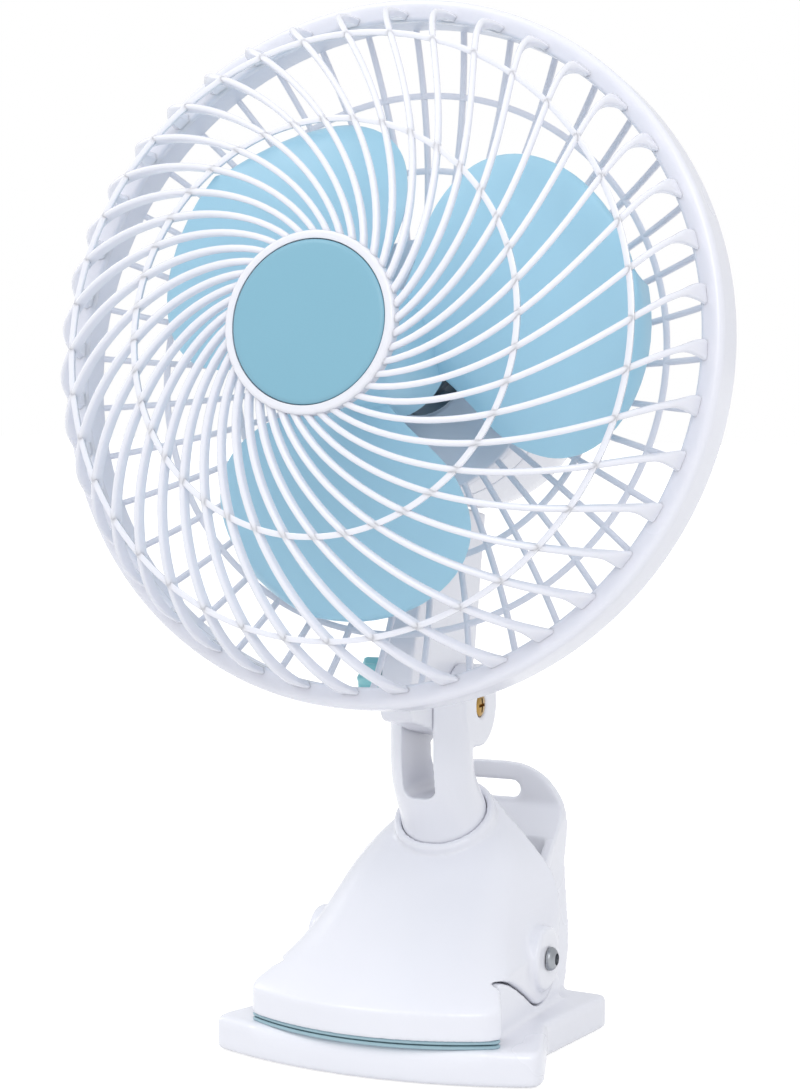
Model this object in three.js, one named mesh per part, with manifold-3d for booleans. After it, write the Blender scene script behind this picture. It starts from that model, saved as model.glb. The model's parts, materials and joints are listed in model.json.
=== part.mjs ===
// Clip fan: a small table fan whose foot is a spring clip. Millimetres, +Z up. The fan blows towards -Y, and
// +X is to the right of someone who faces it. The origin is the middle of the clip's underside.
//
// The clip's base carries a hinge pin, on which the bell-shaped upper jaw turns. A neck plugs into the
// slope of that jaw and swivels there. Its fork holds the stem of the fan's head, which tilts. The head
// holds the motor, the two guards and the blades.

import * as THREE from 'three';
import { mergeVertices } from 'three/addons/utils/BufferGeometryUtils.js';
import Module from 'manifold-3d';

const wasm = await Module();
wasm.setup();

// ---------------------------------------------------------------- sizes that are set by themselves

const GAP = 0.3; // between pieces that touch or are pushed together
const RUN = 0.6; // between pieces that move past each other
const WALL = 2.4; // moulded wall

// clip base
const BASE = { thick: 9.5, frontY: -38.8, frontHalf: 48.8, frontBulge: 10, cheek: 4, waistY: 1,
  waistHalf: 40.5, rearY: 39, rearHalf: 45.6, rearBulge: 3, bevel: 0.9 };
const PAD = { thick: 0.9, inset: 0.7, gap: 0.4, bulge: 10.5 };
const HINGE = { y: 13, z: BASE.thick + 15.5, pinR: 2, play: 0.15, pinHeadR: 3.4, pinHeadHigh: 2.4,
  lobeR: 13, bossR: 9.2, bossOut: 1.8, lugR: 8, lugX: 20.5, lugThick: 3.8 };
const SPRING = { wireR: 0.8, gap: 0.6, turns: 5, loose: 0.6, onHandle: 6 };
const HANDLE = { top: BASE.thick + 63.3, half: 25, cornerR: 14, wall: 3, holeHalf: 9.6, holeHigh: 5.4,
  holeBelowTop: 8.2, footHalf: 31, lean: 23 };
const FOOT_PAD = { r: 6, thick: 1.2, x: 34, frontY: -23, rearY: 27 };

// upper jaw
const LIP = { bottom: BASE.thick + 2 * PAD.thick + PAD.gap, half: 38, frontY: -40, rearY: -25.5, high: 7.6,
  floor: 2.2 };
const SIDE_X = 34.5; // the jaw's side walls behind the lip
const SIDE_Y = -20; // where those walls and their curved lower edge start
const CHEEK = { x: LIP.half + 0.4, y: SIDE_Y - 8.5 }; // where the lip's ends turn in towards them
const OPEN_LEAN = 20; // degrees that the jaw opens, which the handle's front edge leaves room for
const JAW_REAR_SLOPE = 0.19; // how the jaw's rear edge leans back as it rises

// neck, which plugs into a collar on the jaw's slope
const COLLAR = { r: 15.2, high: 2.6, deep: 4 };
const STEM = { half: 4.7, endR: 9.5, frontY: -35.5 };
const NECK = { footY: 23, footZ: LIP.bottom + 49.3, lean: 34, footR: 12.7, r: 12, axisY: 13, earR: 12,
  slotHalf: STEM.half + GAP, slotDeep: 25.3, slotR: 3, spigotR: 6.6, spigotLong: COLLAR.deep + GAP };
const PIVOT = { y: NECK.axisY + 8.7, z: NECK.footZ + 34.3 };
const NECK_TOP = PIVOT.z + 5.7;
const SWIVEL_SCREW = { r: 1.4, headR: 3.2, headHigh: 2, washerThick: 1.2, washerOver: 3 };
const TILT_UP = 9.4; // degrees, as the head stands at rest
const TILT_SCREW = { r: 2, play: 0.15, headR: 3.3, headHigh: 1.8, nutR: 3.9, nutHigh: 2.4, slot: 0.8 };

// head: the fan's axis and rim plane are placed from the tilt pivot
const AXIS_ABOVE_PIVOT = 93.2;
const RIM_AHEAD_OF_PIVOT = 60;

// guards: r is measured from the fan's axis, and D is the distance in front of the rim plane
const RIM = { r: 97.5, frontD: 5.5, rearD: -8.5, wall: 2, flange: 6.1, flangeD: 1.5 };
const BOWL = { r: RIM.r - 3.9, deep: 46.6, power: 0.684 };
const SPOKES = { count: 40, swirl: 0.78, wide: 1.7, tabWide: 5.6, deep: 3, tabDeep: 1.9, steps: 5 };
const HUB_RING = { r: 24, lip: 2.5, frontD: BOWL.deep - 0.2, seat: 2.2, floor: 2 };
const HUB_DISC = { thick: 2.7, crown: 0.6, bevel: 0.8 };
const HOUSING = { r: 36, wall: 2.2, noseR: 13, frontLong: 14, behindRearBracket: 14 };
const RINGS = { radii: [54.7, 80.8], wide: 1.6, deep: 1.8, under: 0.7 };
const REAR = { count: 40, plateR: HOUSING.r + 1, plateD: -23.8, plateThick: 2.8, holeR: 15, wide: 1.8,
  deep: 2.1, radii: [56, 76], under: 0.6, edgeD: -6, edgeWall: 2.6, steps: 2 };
const GUARD_SCREW = { onR: HOUSING.r - 6, r: 1.4, play: 0.15, headR: 2.8, headHigh: 1.6, long: 8,
  postWall: 2.9 };

// blades
const BLADES = { count: 3, tipR: 74.5, rootR: 14, midD: 4.6, pitch: 6.5, camber: 4.4, backAtTip: 9.4,
  thick: 1.7, firstAngle: 18.4, rootHalf: 34.9, fanOut: 15.8, sweep: 1.8, rows: 7, columns: 5 };
const BLADE_HUB = { r: 17.5, behindGuard: 13.2, long: 34, wall: 2, bossR: 5, boreLong: 20, crown: 5 };

// motor, from front to back
const SHAFT = { r: 2.5, bush: 0.1, past: 4 };
const BRACKET = { thick: 2, r: 27, half: 14, behindFront: 7, standOff: 8, bushR: 5, bushLong: 6,
  seatLong: 3 };
const STATOR = { corner: 4, cornerR: HOUSING.r - HOUSING.wall - 1.15, boreR: 13, long: 18 };
STATOR.half = (STATOR.corner + Math.sqrt(2 * STATOR.cornerR ** 2 - STATOR.corner ** 2)) / 2;
const ROTOR = { r: STATOR.boreR - RUN, over: 1 };
const COIL = { half: 11, deep: 5, wire: 3.4 };
const MOTOR_SCREW = { x: STATOR.half - 5, r: 1.6, play: 0.15, headR: 3, headHigh: 2, postWall: 2.2,
  footWall: 2 };
const VENTS = { front: 14, frontInR: 17, frontOutR: HOUSING.r - 5, wide: 2.4, rear: 14, rearInR: 10,
  rearOutR: HOUSING.r - 10 };
const INLET = { r: 3.6, drop: HOUSING.r - 14, wall: 1.1, flange: 2, flangeThick: 1.3, inside: 3.2 };
const SWITCH = { behindStemFront: 6.5, z: 5, knobR: 6, knobLong: 7, ribs: 10, ribR: 0.55, bushR: 2.8,
  bodyHalf: 5, reach: 1.8 };

// places along the fan's axis that follow from those sizes
const HUB_BACK_D = HUB_RING.frontD - HUB_RING.seat - HUB_RING.floor;
const BLADE_FRONT_D = HUB_BACK_D - BLADE_HUB.behindGuard;
const BLADE_BACK_D = BLADE_FRONT_D - BLADE_HUB.long;
const SHAFT_FRONT_D = BLADE_FRONT_D - BLADE_HUB.crown - 2;
const FRONT_D = REAR.plateD - REAR.plateThick - GAP;
const JOIN_D = FRONT_D - HOUSING.frontLong;
const FRONT_BRACKET_D = FRONT_D - BRACKET.behindFront;
const STATOR_FRONT_D = FRONT_BRACKET_D - BRACKET.thick - BRACKET.standOff;
const STATOR_REAR_D = STATOR_FRONT_D - STATOR.long;
const REAR_BRACKET_D = STATOR_REAR_D - BRACKET.standOff;
const REAR_D = REAR_BRACKET_D - BRACKET.thick - HOUSING.behindRearBracket;
const SWITCH_Y = STEM.frontY + SWITCH.behindStemFront;

// ---------------------------------------------------------------- geometry helpers

const rad = THREE.MathUtils.degToRad;
const AXIS_X = new THREE.Vector3(1, 0, 0);

// Merged, closed and pointing out: manifold-3d and the solids need both.
function closed(geometry) {
  const bare = new THREE.BufferGeometry();
  bare.setAttribute('position', geometry.getAttribute('position').clone());
  if (geometry.index) bare.setIndex(geometry.index.clone());
  const merged = mergeVertices(bare, 1e-4);
  const from = merged.index.array;
  const at = merged.getAttribute('position');
  const [a, b, c] = [new THREE.Vector3(), new THREE.Vector3(), new THREE.Vector3()];
  const index = [];
  let volume = 0;
  for (let i = 0; i < from.length; i += 3) {
    const [p, q, r] = [from[i], from[i + 1], from[i + 2]];
    if (p === q || q === r || r === p) continue;
    index.push(p, q, r);
    a.fromBufferAttribute(at, p);
    volume += a.dot(b.fromBufferAttribute(at, q).cross(c.fromBufferAttribute(at, r)));
  }
  if (volume < 0) {
    for (let i = 0; i < index.length; i += 3) [index[i], index[i + 1]] = [index[i + 1], index[i]];
  }
  merged.setIndex(index);
  return merged;
}

function solid(geometry) {
  const g = closed(geometry);
  return new wasm.Manifold(new wasm.Mesh({
    numProp: 3,
    vertProperties: new Float32Array(g.getAttribute('position').array),
    triVerts: new Uint32Array(g.index.array),
  }));
}

function join(...solids) {
  return solids.flat().reduce((all, one) => all.add(one));
}

function cut(body, ...tools) {
  return tools.flat().reduce((rest, tool) => rest.subtract(tool), body);
}

// Turned about +Y (the fan's axis). Profile points are [radius, y].
function turned(profile, sides = 32) {
  const points = profile.map(([r, y]) => new THREE.Vector2(r, y));
  const onAxis = profile[0][0] === 0 && profile[profile.length - 1][0] === 0;
  if (!onAxis) points.push(points[0].clone());
  return new THREE.LatheGeometry(points, sides);
}

// Turned about the fan's axis, with profile points [radius, distance in front of the rim plane].
function turnedAhead(profile, sides) {
  return solid(turned(profile.map(([r, d]) => [r, -d]), sides));
}

// A cylinder along +X from x0 to x1, through (y, z).
function barX(r, x0, x1, y, z, sides = 16) {
  const g = turned([[0, x0], [r, x0], [r, x1], [0, x1]], sides);
  return solid(g.rotateZ(-Math.PI / 2).translate(0, y, z));
}

// A cylinder about the fan's axis direction, from d0 to d1 in front of the rim plane, through (x, z).
function barAhead(r, d0, d1, x = 0, z = 0, sides = 16) {
  const g = turned([[0, -d0], [r, -d0], [r, -d1], [0, -d1]], sides);
  return solid(g.translate(x, 0, z));
}

function block(x0, x1, y0, y1, z0, z1) {
  const g = new THREE.BoxGeometry(x1 - x0, y1 - y0, z1 - z0);
  return solid(g.translate((x0 + x1) / 2, (y0 + y1) / 2, (z0 + z1) / 2));
}

function shapeOf(points) {
  return new THREE.Shape(points.map(([u, v]) => new THREE.Vector2(u, v)));
}

// An outline seen from the side, [y, z], drawn out along X.
function acrossX(points, x0, x1) {
  const g = new THREE.ExtrudeGeometry(shapeOf(points), { depth: x1 - x0, bevelEnabled: false });
  const turn = new THREE.Matrix4().makeBasis(
    new THREE.Vector3(0, 1, 0), new THREE.Vector3(0, 0, 1), new THREE.Vector3(1, 0, 0));
  return solid(g.applyMatrix4(turn).translate(x0, 0, 0));
}

// An outline seen from the front, [x, z], drawn out along Y from y0 to y1.
function alongY(points, y0, y1) {
  const g = new THREE.ExtrudeGeometry(shapeOf(points), { depth: y1 - y0, bevelEnabled: false });
  return solid(g.rotateX(Math.PI / 2).translate(0, y1, 0));
}

function arcPoints(cx, cy, r, from, to, steps) {
  return Array.from({ length: steps + 1 }, (_, i) => {
    const a = rad(from + (to - from) * i / steps);
    return [cx + r * Math.cos(a), cy + r * Math.sin(a)];
  });
}

// Skins rings of points that have the same even count. Each end is closed by zipping its two halves.
function loft(rings) {
  const n = rings[0].length;
  const position = rings.flat().flatMap((p) => [p.x, p.y, p.z]);
  const index = [];
  for (let k = 0; k < rings.length - 1; k++) {
    for (let i = 0; i < n; i++) {
      const [a, b] = [k * n + i, k * n + (i + 1) % n];
      index.push(a, b, b + n, a, b + n, a + n);
    }
  }
  for (const [start, flip] of [[0, true], [(rings.length - 1) * n, false]]) {
    for (let i = 0; i < n / 2 - 1; i++) {
      const [a, b, c, d] = [start + i, start + i + 1, start + n - 2 - i, start + n - 1 - i];
      index.push(...(flip ? [c, b, a, d, c, a] : [a, b, c, a, c, d]));
    }
  }
  const g = new THREE.BufferGeometry();
  g.setAttribute('position', new THREE.Float32BufferAttribute(position, 3));
  g.setIndex(index);
  return g;
}

function material(color, roughness, metalness = 0) {
  return new THREE.MeshStandardMaterial({ color, roughness, metalness });
}

const WHITE = [0xf1f1f6, 0.32];
const BLUE = [0x92c1d5, 0.42];
const PALE_TEAL = [0xa9c6cf, 0.6];
const TEAL = [0x7fc4cc, 0.4];
const STEEL = [0xb8bcc0, 0.35, 1];
const BRASS = [0xb08d4a, 0.35, 1];
const DARK = [0x23252a, 0.6];
const COPPER = [0xb06a3a, 0.4, 1];
const BRONZE = [0x9a7447, 0.5, 1];

function piece(name, body, look) {
  let geometry = body;
  if (!body.isBufferGeometry) {
    const mesh = body.getMesh();
    geometry = new THREE.BufferGeometry();
    geometry.setAttribute('position', new THREE.BufferAttribute(new Float32Array(mesh.vertProperties), 3));
    geometry.setIndex(new THREE.BufferAttribute(new Uint32Array(mesh.triVerts), 1));
  } else {
    geometry = closed(body);
  }
  const mesh = new THREE.Mesh(geometry, material(...look));
  mesh.name = name;
  return mesh;
}

// ---------------------------------------------------------------- clip base

// The front edge and the lip of the jaw are arcs that bulge forwards.
function bulge(half, edgeY, depth, steps) {
  const r = (half * half + depth * depth) / (2 * depth);
  const span = THREE.MathUtils.radToDeg(Math.asin(half / r));
  return arcPoints(0, edgeY + r, r, -90 - span, -90 + span, steps);
}

function basePlan(inset = 0) {
  const front = bulge(BASE.frontHalf - inset, BASE.frontY + inset, BASE.frontBulge, 12);
  const rearR = (BASE.rearHalf ** 2 + BASE.rearBulge ** 2) / (2 * BASE.rearBulge);
  const span = THREE.MathUtils.radToDeg(Math.asin(BASE.rearHalf / rearR));
  const rear = arcPoints(0, BASE.rearY + BASE.rearBulge - rearR - inset, rearR, 90 - span, 90 + span, 6);
  const sideFront = BASE.frontY + BASE.frontBulge + BASE.cheek;
  return [...front, [BASE.frontHalf - inset, sideFront], [BASE.waistHalf - inset, BASE.waistY],
    ...rear, [-BASE.waistHalf + inset, BASE.waistY], [-BASE.frontHalf + inset, sideFront]];
}

// The curved lower edge of the jaw's side wall, from behind the lip to the round lobe under the hinge. It
// ends at the angle "last" round that lobe.
function skirtCurve(offset, last) {
  const lobe = HINGE.lobeR + offset;
  const rise = HINGE.z - offset;
  const points = [[SIDE_Y, rise + 0.3], [-16, rise - 0.2], [-11, rise - 1.8], [-5.5, rise - 4.4],
    [0, rise - 7.4]];
  return [...points, ...arcPoints(HINGE.y, HINGE.z, lobe, -118, last, 10)];
}

// The line that the jaw's rear edge reaches when the clip is open, which the handle's sides stay behind.
function jawRearEdge(z) {
  return HINGE.y + HINGE.lobeR + (z - HINGE.z) * JAW_REAR_SLOPE;
}

function turnedOpen(y, z) {
  const a = rad(OPEN_LEAN);
  const [dy, dz] = [y - HINGE.y, z - HINGE.z];
  return [HINGE.y + dy * Math.cos(a) + dz * Math.sin(a), HINGE.z - dy * Math.sin(a) + dz * Math.cos(a)];
}

function handleBack(z) {
  // a smooth lean: steep at the foot, nearly upright at the top
  const t = THREE.MathUtils.clamp((z - BASE.thick) / (HANDLE.top - BASE.thick), 0, 1);
  const start = BASE.rearY + 2;
  return start + (HANDLE.lean - 2) * Math.sin(t * Math.PI / 2) ** 0.9;
}

function handleSide(shift) {
  const open = [5, 13, 21, 30].map((up) => turnedOpen(jawRearEdge(HINGE.z + up), HINGE.z + up))
    .map(([y, z]) => [y + RUN + shift, z]);
  const holeZ = HANDLE.top - HANDLE.holeBelowTop;
  const lowest = BASE.thick - 1;
  const behindLobe = HINGE.y + HINGE.lobeR + RUN + shift;
  const front = [[behindLobe, lowest], [behindLobe, HINGE.z - 3], ...open,
    [handleBack(holeZ) - HANDLE.wall + shift, holeZ - 4],
    [handleBack(HANDLE.top) - HANDLE.wall + shift, HANDLE.top + 1]];
  const back = [1, 0.85, 0.7, 0.55, 0.4, 0.25, 0.1, 0].map((t) => {
    const z = lowest + (HANDLE.top + 1 - lowest) * t;
    return [handleBack(z) + shift, z];
  });
  return [...front, ...back];
}

function handleFront(inset) {
  const half = HANDLE.half - inset;
  const foot = HANDLE.footHalf - inset;
  const r = HANDLE.cornerR - inset;
  const z0 = BASE.thick - 1;
  const top = HANDLE.top - inset;
  const right = arcPoints(half - r, top - r, r, 0, 90, 6);
  const left = right.map(([x, z]) => [-x, z]).reverse();
  const side = [[foot, z0], [foot - 1, HINGE.z - 3], [half + 2, HINGE.z + 9], [half, HINGE.z + 19]];
  return [...side, ...right, ...left, ...side.map(([x, z]) => [-x, z]).reverse()];
}

function clipBase() {
  const plate = new THREE.ExtrudeGeometry(shapeOf(basePlan(BASE.bevel)), {
    depth: BASE.thick - 2 * BASE.bevel, bevelEnabled: true, bevelThickness: BASE.bevel, bevelSize: BASE.bevel,
    bevelSegments: 2, curveSegments: 1 });
  const floor = solid(plate.translate(0, 0, BASE.bevel));
  const handleShape = (inset) =>
    acrossX(handleSide(-inset), -60, 60).intersect(alongY(handleFront(inset), -60, 90));
  const [handleOuter, hollow] = [handleShape(0), handleShape(HANDLE.wall)];
  const [holeR, holeZ] = [HANDLE.holeHigh / 2, HANDLE.top - HANDLE.holeBelowTop];
  const hole = [...arcPoints(HANDLE.holeHalf - holeR, holeZ, holeR, -90, 90, 6),
    ...arcPoints(-HANDLE.holeHalf + holeR, holeZ, holeR, 90, 270, 6)];
  const handle = cut(handleOuter, cut(hollow, block(-60, 60, -60, 90, 0, BASE.thick)), alongY(hole, 40, 90));

  // side skirts that fill the corner under the jaw's curved edge, and stay clear of its rear edge as it opens
  const under = [[SIDE_Y + RUN * 2, BASE.thick - 1], ...skirtCurve(RUN, -OPEN_LEAN - 6).map(([y, z]) =>
    [Math.max(y, SIDE_Y + RUN * 2), z]), [HINGE.y + HINGE.lobeR + 3, BASE.thick + 6],
  [HINGE.y + HINGE.lobeR + 3, BASE.thick - 1]];
  const [skirtIn, skirtOut] = [SIDE_X - 6, SIDE_X - RUN];
  const skirts = [skirtIn, -skirtOut].map((x) => acrossX(under, x, x + skirtOut - skirtIn));

  // lugs for the hinge pin
  const lugSide = [[HINGE.y - HINGE.lugR - 3, BASE.thick - 1],
    ...arcPoints(HINGE.y, HINGE.z, HINGE.lugR, 180, 0, 10), [HINGE.y + HINGE.lugR + 5, BASE.thick - 1]];
  const lugs = [HINGE.lugX, -HINGE.lugX - HINGE.lugThick].map((x) => acrossX(lugSide, x, x + HINGE.lugThick));
  const pinHole = barX(HINGE.pinR + HINGE.play, -80, 80, HINGE.y, HINGE.z);
  const [pocketR, pocketZ] = [FOOT_PAD.r + GAP, FOOT_PAD.thick + GAP];
  const pockets = footPlaces().map(([x, y]) => solid(turned([[0, -1], [pocketR, -1], [pocketR, pocketZ],
    [0, pocketZ]], 16).rotateX(Math.PI / 2).translate(x, y, 0)));
  return cut(join(floor, handle, skirts, lugs), pinHole, pockets);
}

function footPlaces() {
  return [[-1, 0], [1, 0], [-1, 1], [1, 1]].map(([side, rear]) =>
    [side * FOOT_PAD.x, rear ? FOOT_PAD.rearY : FOOT_PAD.frontY]);
}

function footPad([x, y]) {
  const g = turned([[0, 0], [FOOT_PAD.r - 0.4, 0], [FOOT_PAD.r, 0.4], [FOOT_PAD.r, FOOT_PAD.thick],
    [0, FOOT_PAD.thick]], 16);
  return g.rotateX(Math.PI / 2).translate(x, y, 0);
}

// Thin rubber strip with the lip's outline, on the base or under the lip.
function jawPad(z0) {
  const half = LIP.half - PAD.inset;
  const front = bulge(half, LIP.frontY + PAD.inset, PAD.bulge, 10);
  const shape = shapeOf([...front, [half, LIP.rearY - PAD.inset], [-half, LIP.rearY - PAD.inset]]);
  return new THREE.ExtrudeGeometry(shape, { depth: PAD.thick, bevelEnabled: false }).translate(0, 0, z0);
}

function hingePin() {
  const x = SIDE_X + HINGE.bossOut;
  const { pinR, pinHeadR, pinHeadHigh } = HINGE;
  const half = [[pinR, x + GAP], [pinHeadR, x + GAP], [pinHeadR - 0.4, x + pinHeadHigh], [0, x + pinHeadHigh + 0.4]];
  const profile = [...half.map(([r, at]) => [r, -at]).reverse(), ...half];
  return turned(profile, 12).rotateZ(-Math.PI / 2).translate(0, HINGE.y, HINGE.z);
}

// Where a straight leg from an end point [y, z] meets the coil round the pin, as an angle.
function tangentAngle([y, z], side) {
  const [dy, dz] = [y - HINGE.y, z - HINGE.z];
  return Math.atan2(dz, dy) + side * Math.acos(springR() / Math.hypot(dy, dz));
}

function springR() {
  return HINGE.pinR + SPRING.wireR + SPRING.loose;
}

// Torsion spring: one unbroken wire, from the handle to the coil round the pin, and on to the jaw's lip.
function torsionSpring() {
  const { wireR, gap, turns, onHandle } = SPRING;
  const off = wireR + GAP;
  const rearZ = HINGE.z - onHandle;
  const rearEnd = [handleBack(rearZ) - HANDLE.wall - off - 0.2, rearZ];
  const frontEnd = [LIP.rearY - WALL / 2, LIP.bottom + LIP.high + off];
  const first = tangentAngle(rearEnd, 1);
  const last = (tangentAngle(frontEnd, -1) + 2 * Math.PI) % (2 * Math.PI) + 2 * Math.PI * turns;
  const width = turns * (2 * wireR + gap);
  const steps = turns * 12;
  const round = Array.from({ length: steps + 1 }, (_, i) => {
    const a = first + (last - first) * i / steps;
    return new THREE.Vector3(width * (i / steps - 0.5), HINGE.y + springR() * Math.cos(a),
      HINGE.z + springR() * Math.sin(a));
  });
  const leg = ([y, z], from) => [0.4, 0.75, 1].map((t) =>
    from.clone().lerp(new THREE.Vector3(from.x, y, z), t));
  const points = [...leg(rearEnd, round[0]).reverse(), ...round, ...leg(frontEnd, round[steps])];
  const path = new THREE.CatmullRomCurve3(points, false, 'centripetal');
  const stepLong = 2 * Math.PI * springR() / 8;
  const section = shapeOf(arcPoints(0, 0, wireR, 0, 288, 4));
  printLeastGap(path.getSpacedPoints(400), wireR);
  return new THREE.ExtrudeGeometry(section, { steps: Math.round(path.getLength() / stepLong),
    bevelEnabled: false, extrudePath: path });
}

// The wire's least gap to itself, between points that are more than half a turn apart along it.
function printLeastGap(points, wireR) {
  const apart = Math.ceil(Math.PI * springR() / points[0].distanceTo(points[1]));
  let least = Infinity;
  for (let i = 0; i < points.length; i++) {
    for (let j = i + apart; j < points.length; j++) least = Math.min(least, points[i].distanceTo(points[j]));
  }
  console.log(`torsion_spring: least gap to itself ${(least - 2 * wireR).toFixed(2)} mm`);
}

// ---------------------------------------------------------------- upper jaw

// Level slices of the jaw: [height above the lip, front edge, x and y of the ridge where the front meets the
// flank, how far the ridge's rounding reaches, half width at the rear edge]
const JAW_SLICES = [
  [-LIP.high, LIP.frontY, LIP.half + 0.2, -29.5, 5, LIP.half],
  [0, LIP.frontY, LIP.half + 0.2, -29.5, 5, LIP.half],
  [1.7, LIP.frontY + 2.6, LIP.half, -27, 5.5, LIP.half - 0.4],
  [4.7, -32, 35.6, -21.5, 7, 36.4], [8.7, -25, 32.3, -16, 8, 35.2], [12.7, -18.8, 29.5, -11.5, 8.5, 34.8],
  [16.7, -12.6, 27.2, -7.6, 9, 34.4], [21.7, -5.4, 25, -2, 9, 33.6], [26.7, 1.8, 23.2, 4, 9, 31.5],
  [31.7, 9, 21.2, 10.5, 9, 27.5], [36.7, 15.8, 18.8, 17, 8, 22.5], [41.2, 22.5, 15.6, 23.5, 7, 17.5],
  [45.2, 28.2, 12.3, 29, 5, 13.5], [48.3, 32.2, 9.5, 33, 4, 10],
];

function jawSlice([up, front, ridgeX, ridgeY, reach, rearHalf], inset) {
  const z = LIP.bottom + LIP.high + up;
  const back = inset * (1 + 0.8 * THREE.MathUtils.clamp(up / 12, 0, 1));
  const rear = jawRearEdge(Math.max(z, HINGE.z)) + (inset > 0 ? 12 : 0);
  const ridge = new THREE.Vector2(ridgeX - inset, ridgeY + back);
  const rearEnd = new THREE.Vector2(rearHalf - inset, rear);
  const frontX = ridge.x - reach;
  const face = (x) => new THREE.Vector2(x, front + back + (ridgeY - front) * (x / ridge.x) ** 2);
  const onFlank = ridge.clone().add(rearEnd.clone().sub(ridge).setLength(reach));
  const rounded = new THREE.QuadraticBezierCurve(onFlank, ridge, face(frontX)).getPoints(4);
  const half = [rearEnd, ...rounded, face(frontX * 0.6), face(frontX * 0.2)];
  const ring = [...half, ...half.map((v) => new THREE.Vector2(-v.x, v.y)).reverse()];
  return ring.reverse().map((v) => new THREE.Vector3(v.x, v.y, z));
}

// What the jaw's sides stay out of behind the lip, up to the height of its slope.
function besideJaw(inset) {
  const [x, y] = [SIDE_X - inset, SIDE_Y - inset / 2];
  const plan = [[x, 90], [x, y], [CHEEK.x - inset, CHEEK.y - inset / 2], [80, CHEEK.y - inset / 2], [80, 90]];
  return [plan, plan.map(([px, py]) => [-px, py])].map((points) =>
    solid(new THREE.ExtrudeGeometry(shapeOf(points), { depth: 60, bevelEnabled: false })));
}

function collarAlong(profile, sides = 24) {
  const g = turned(profile, sides);
  return solid(g.rotateX(Math.PI / 2).rotateX(rad(NECK.lean)).translate(0, NECK.footY, NECK.footZ));
}

function upperJaw() {
  const outer = solid(loft(JAW_SLICES.map((s) => jawSlice(s, 0))));
  const inner = solid(loft([[-LIP.high - 3, ...JAW_SLICES[0].slice(1)], ...JAW_SLICES.slice(0, -2)]
    .map((s) => jawSlice(s, WALL))));
  const hollow = cut(inner, besideJaw(WALL));
  const { bottom, rearY } = LIP;
  const lipFloor = outer.intersect(block(-60, 60, -60, rearY, bottom, bottom + LIP.floor));
  const lipBack = outer.intersect(block(-60, 60, rearY - WALL, rearY, bottom, bottom + LIP.high));
  const collar = collarAlong([[0, -COLLAR.deep], [COLLAR.r, -COLLAR.deep], [COLLAR.r, COLLAR.high - 0.8],
    [COLLAR.r - 0.8, COLLAR.high], [0, COLLAR.high]]);
  const [near, far] = [HINGE.lugX + HINGE.lugThick + RUN, SIDE_X + HINGE.bossOut];
  const span = (side, x0, x1) => (side > 0 ? [x0, x1] : [-x1, -x0]);
  const bosses = [1, -1].flatMap((side) => [
    barX(HINGE.bossR, ...span(side, SIDE_X - 4, far), HINGE.y, HINGE.z, 28),
    barX(HINGE.lugR - 1, ...span(side, near, far), HINGE.y, HINGE.z)]);
  const low = [...skirtCurve(0, -5), [HINGE.y + HINGE.lobeR + 8, HINGE.z], [HINGE.y + 60, HINGE.z],
    [HINGE.y + 60, 0], [SIDE_Y, 0]];
  const shell = cut(join(cut(outer, hollow), lipFloor, lipBack), acrossX(low, -80, 80), besideJaw(0));
  const lobes = [SIDE_X - WALL, -SIDE_X].map((x) =>
    barX(HINGE.lobeR, x, x + WALL, HINGE.y, HINGE.z, 28));
  const pinHole = barX(HINGE.pinR + HINGE.play, -80, 80, HINGE.y, HINGE.z);
  const neckSeat = collarAlong([[0, 0], [NECK.footR + GAP, 0], [NECK.footR + GAP, 20], [0, 20]]);
  const spigotHole = collarAlong([[0, -30], [NECK.spigotR + GAP, -30], [NECK.spigotR + GAP, 5], [0, 5]]);
  const washerR = NECK.spigotR + SWIVEL_SCREW.washerOver + RUN;
  const washerRoom = collarAlong([[0, -COLLAR.deep - 5], [washerR, -COLLAR.deep - 5], [washerR, -COLLAR.deep],
    [0, -COLLAR.deep]]);
  return cut(join(shell, collar, bosses, lobes), pinHole, neckSeat, spigotHole, washerRoom);
}

// ---------------------------------------------------------------- neck

function ringAt(y, z, lean, r, sides) {
  return Array.from({ length: sides }, (_, i) => {
    const a = 2 * Math.PI * (i + 0.5) / sides;
    return new THREE.Vector3(r * Math.cos(a), r * Math.sin(a), 0).applyAxisAngle(AXIS_X, rad(lean))
      .add(new THREE.Vector3(0, y, z));
  });
}

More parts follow.
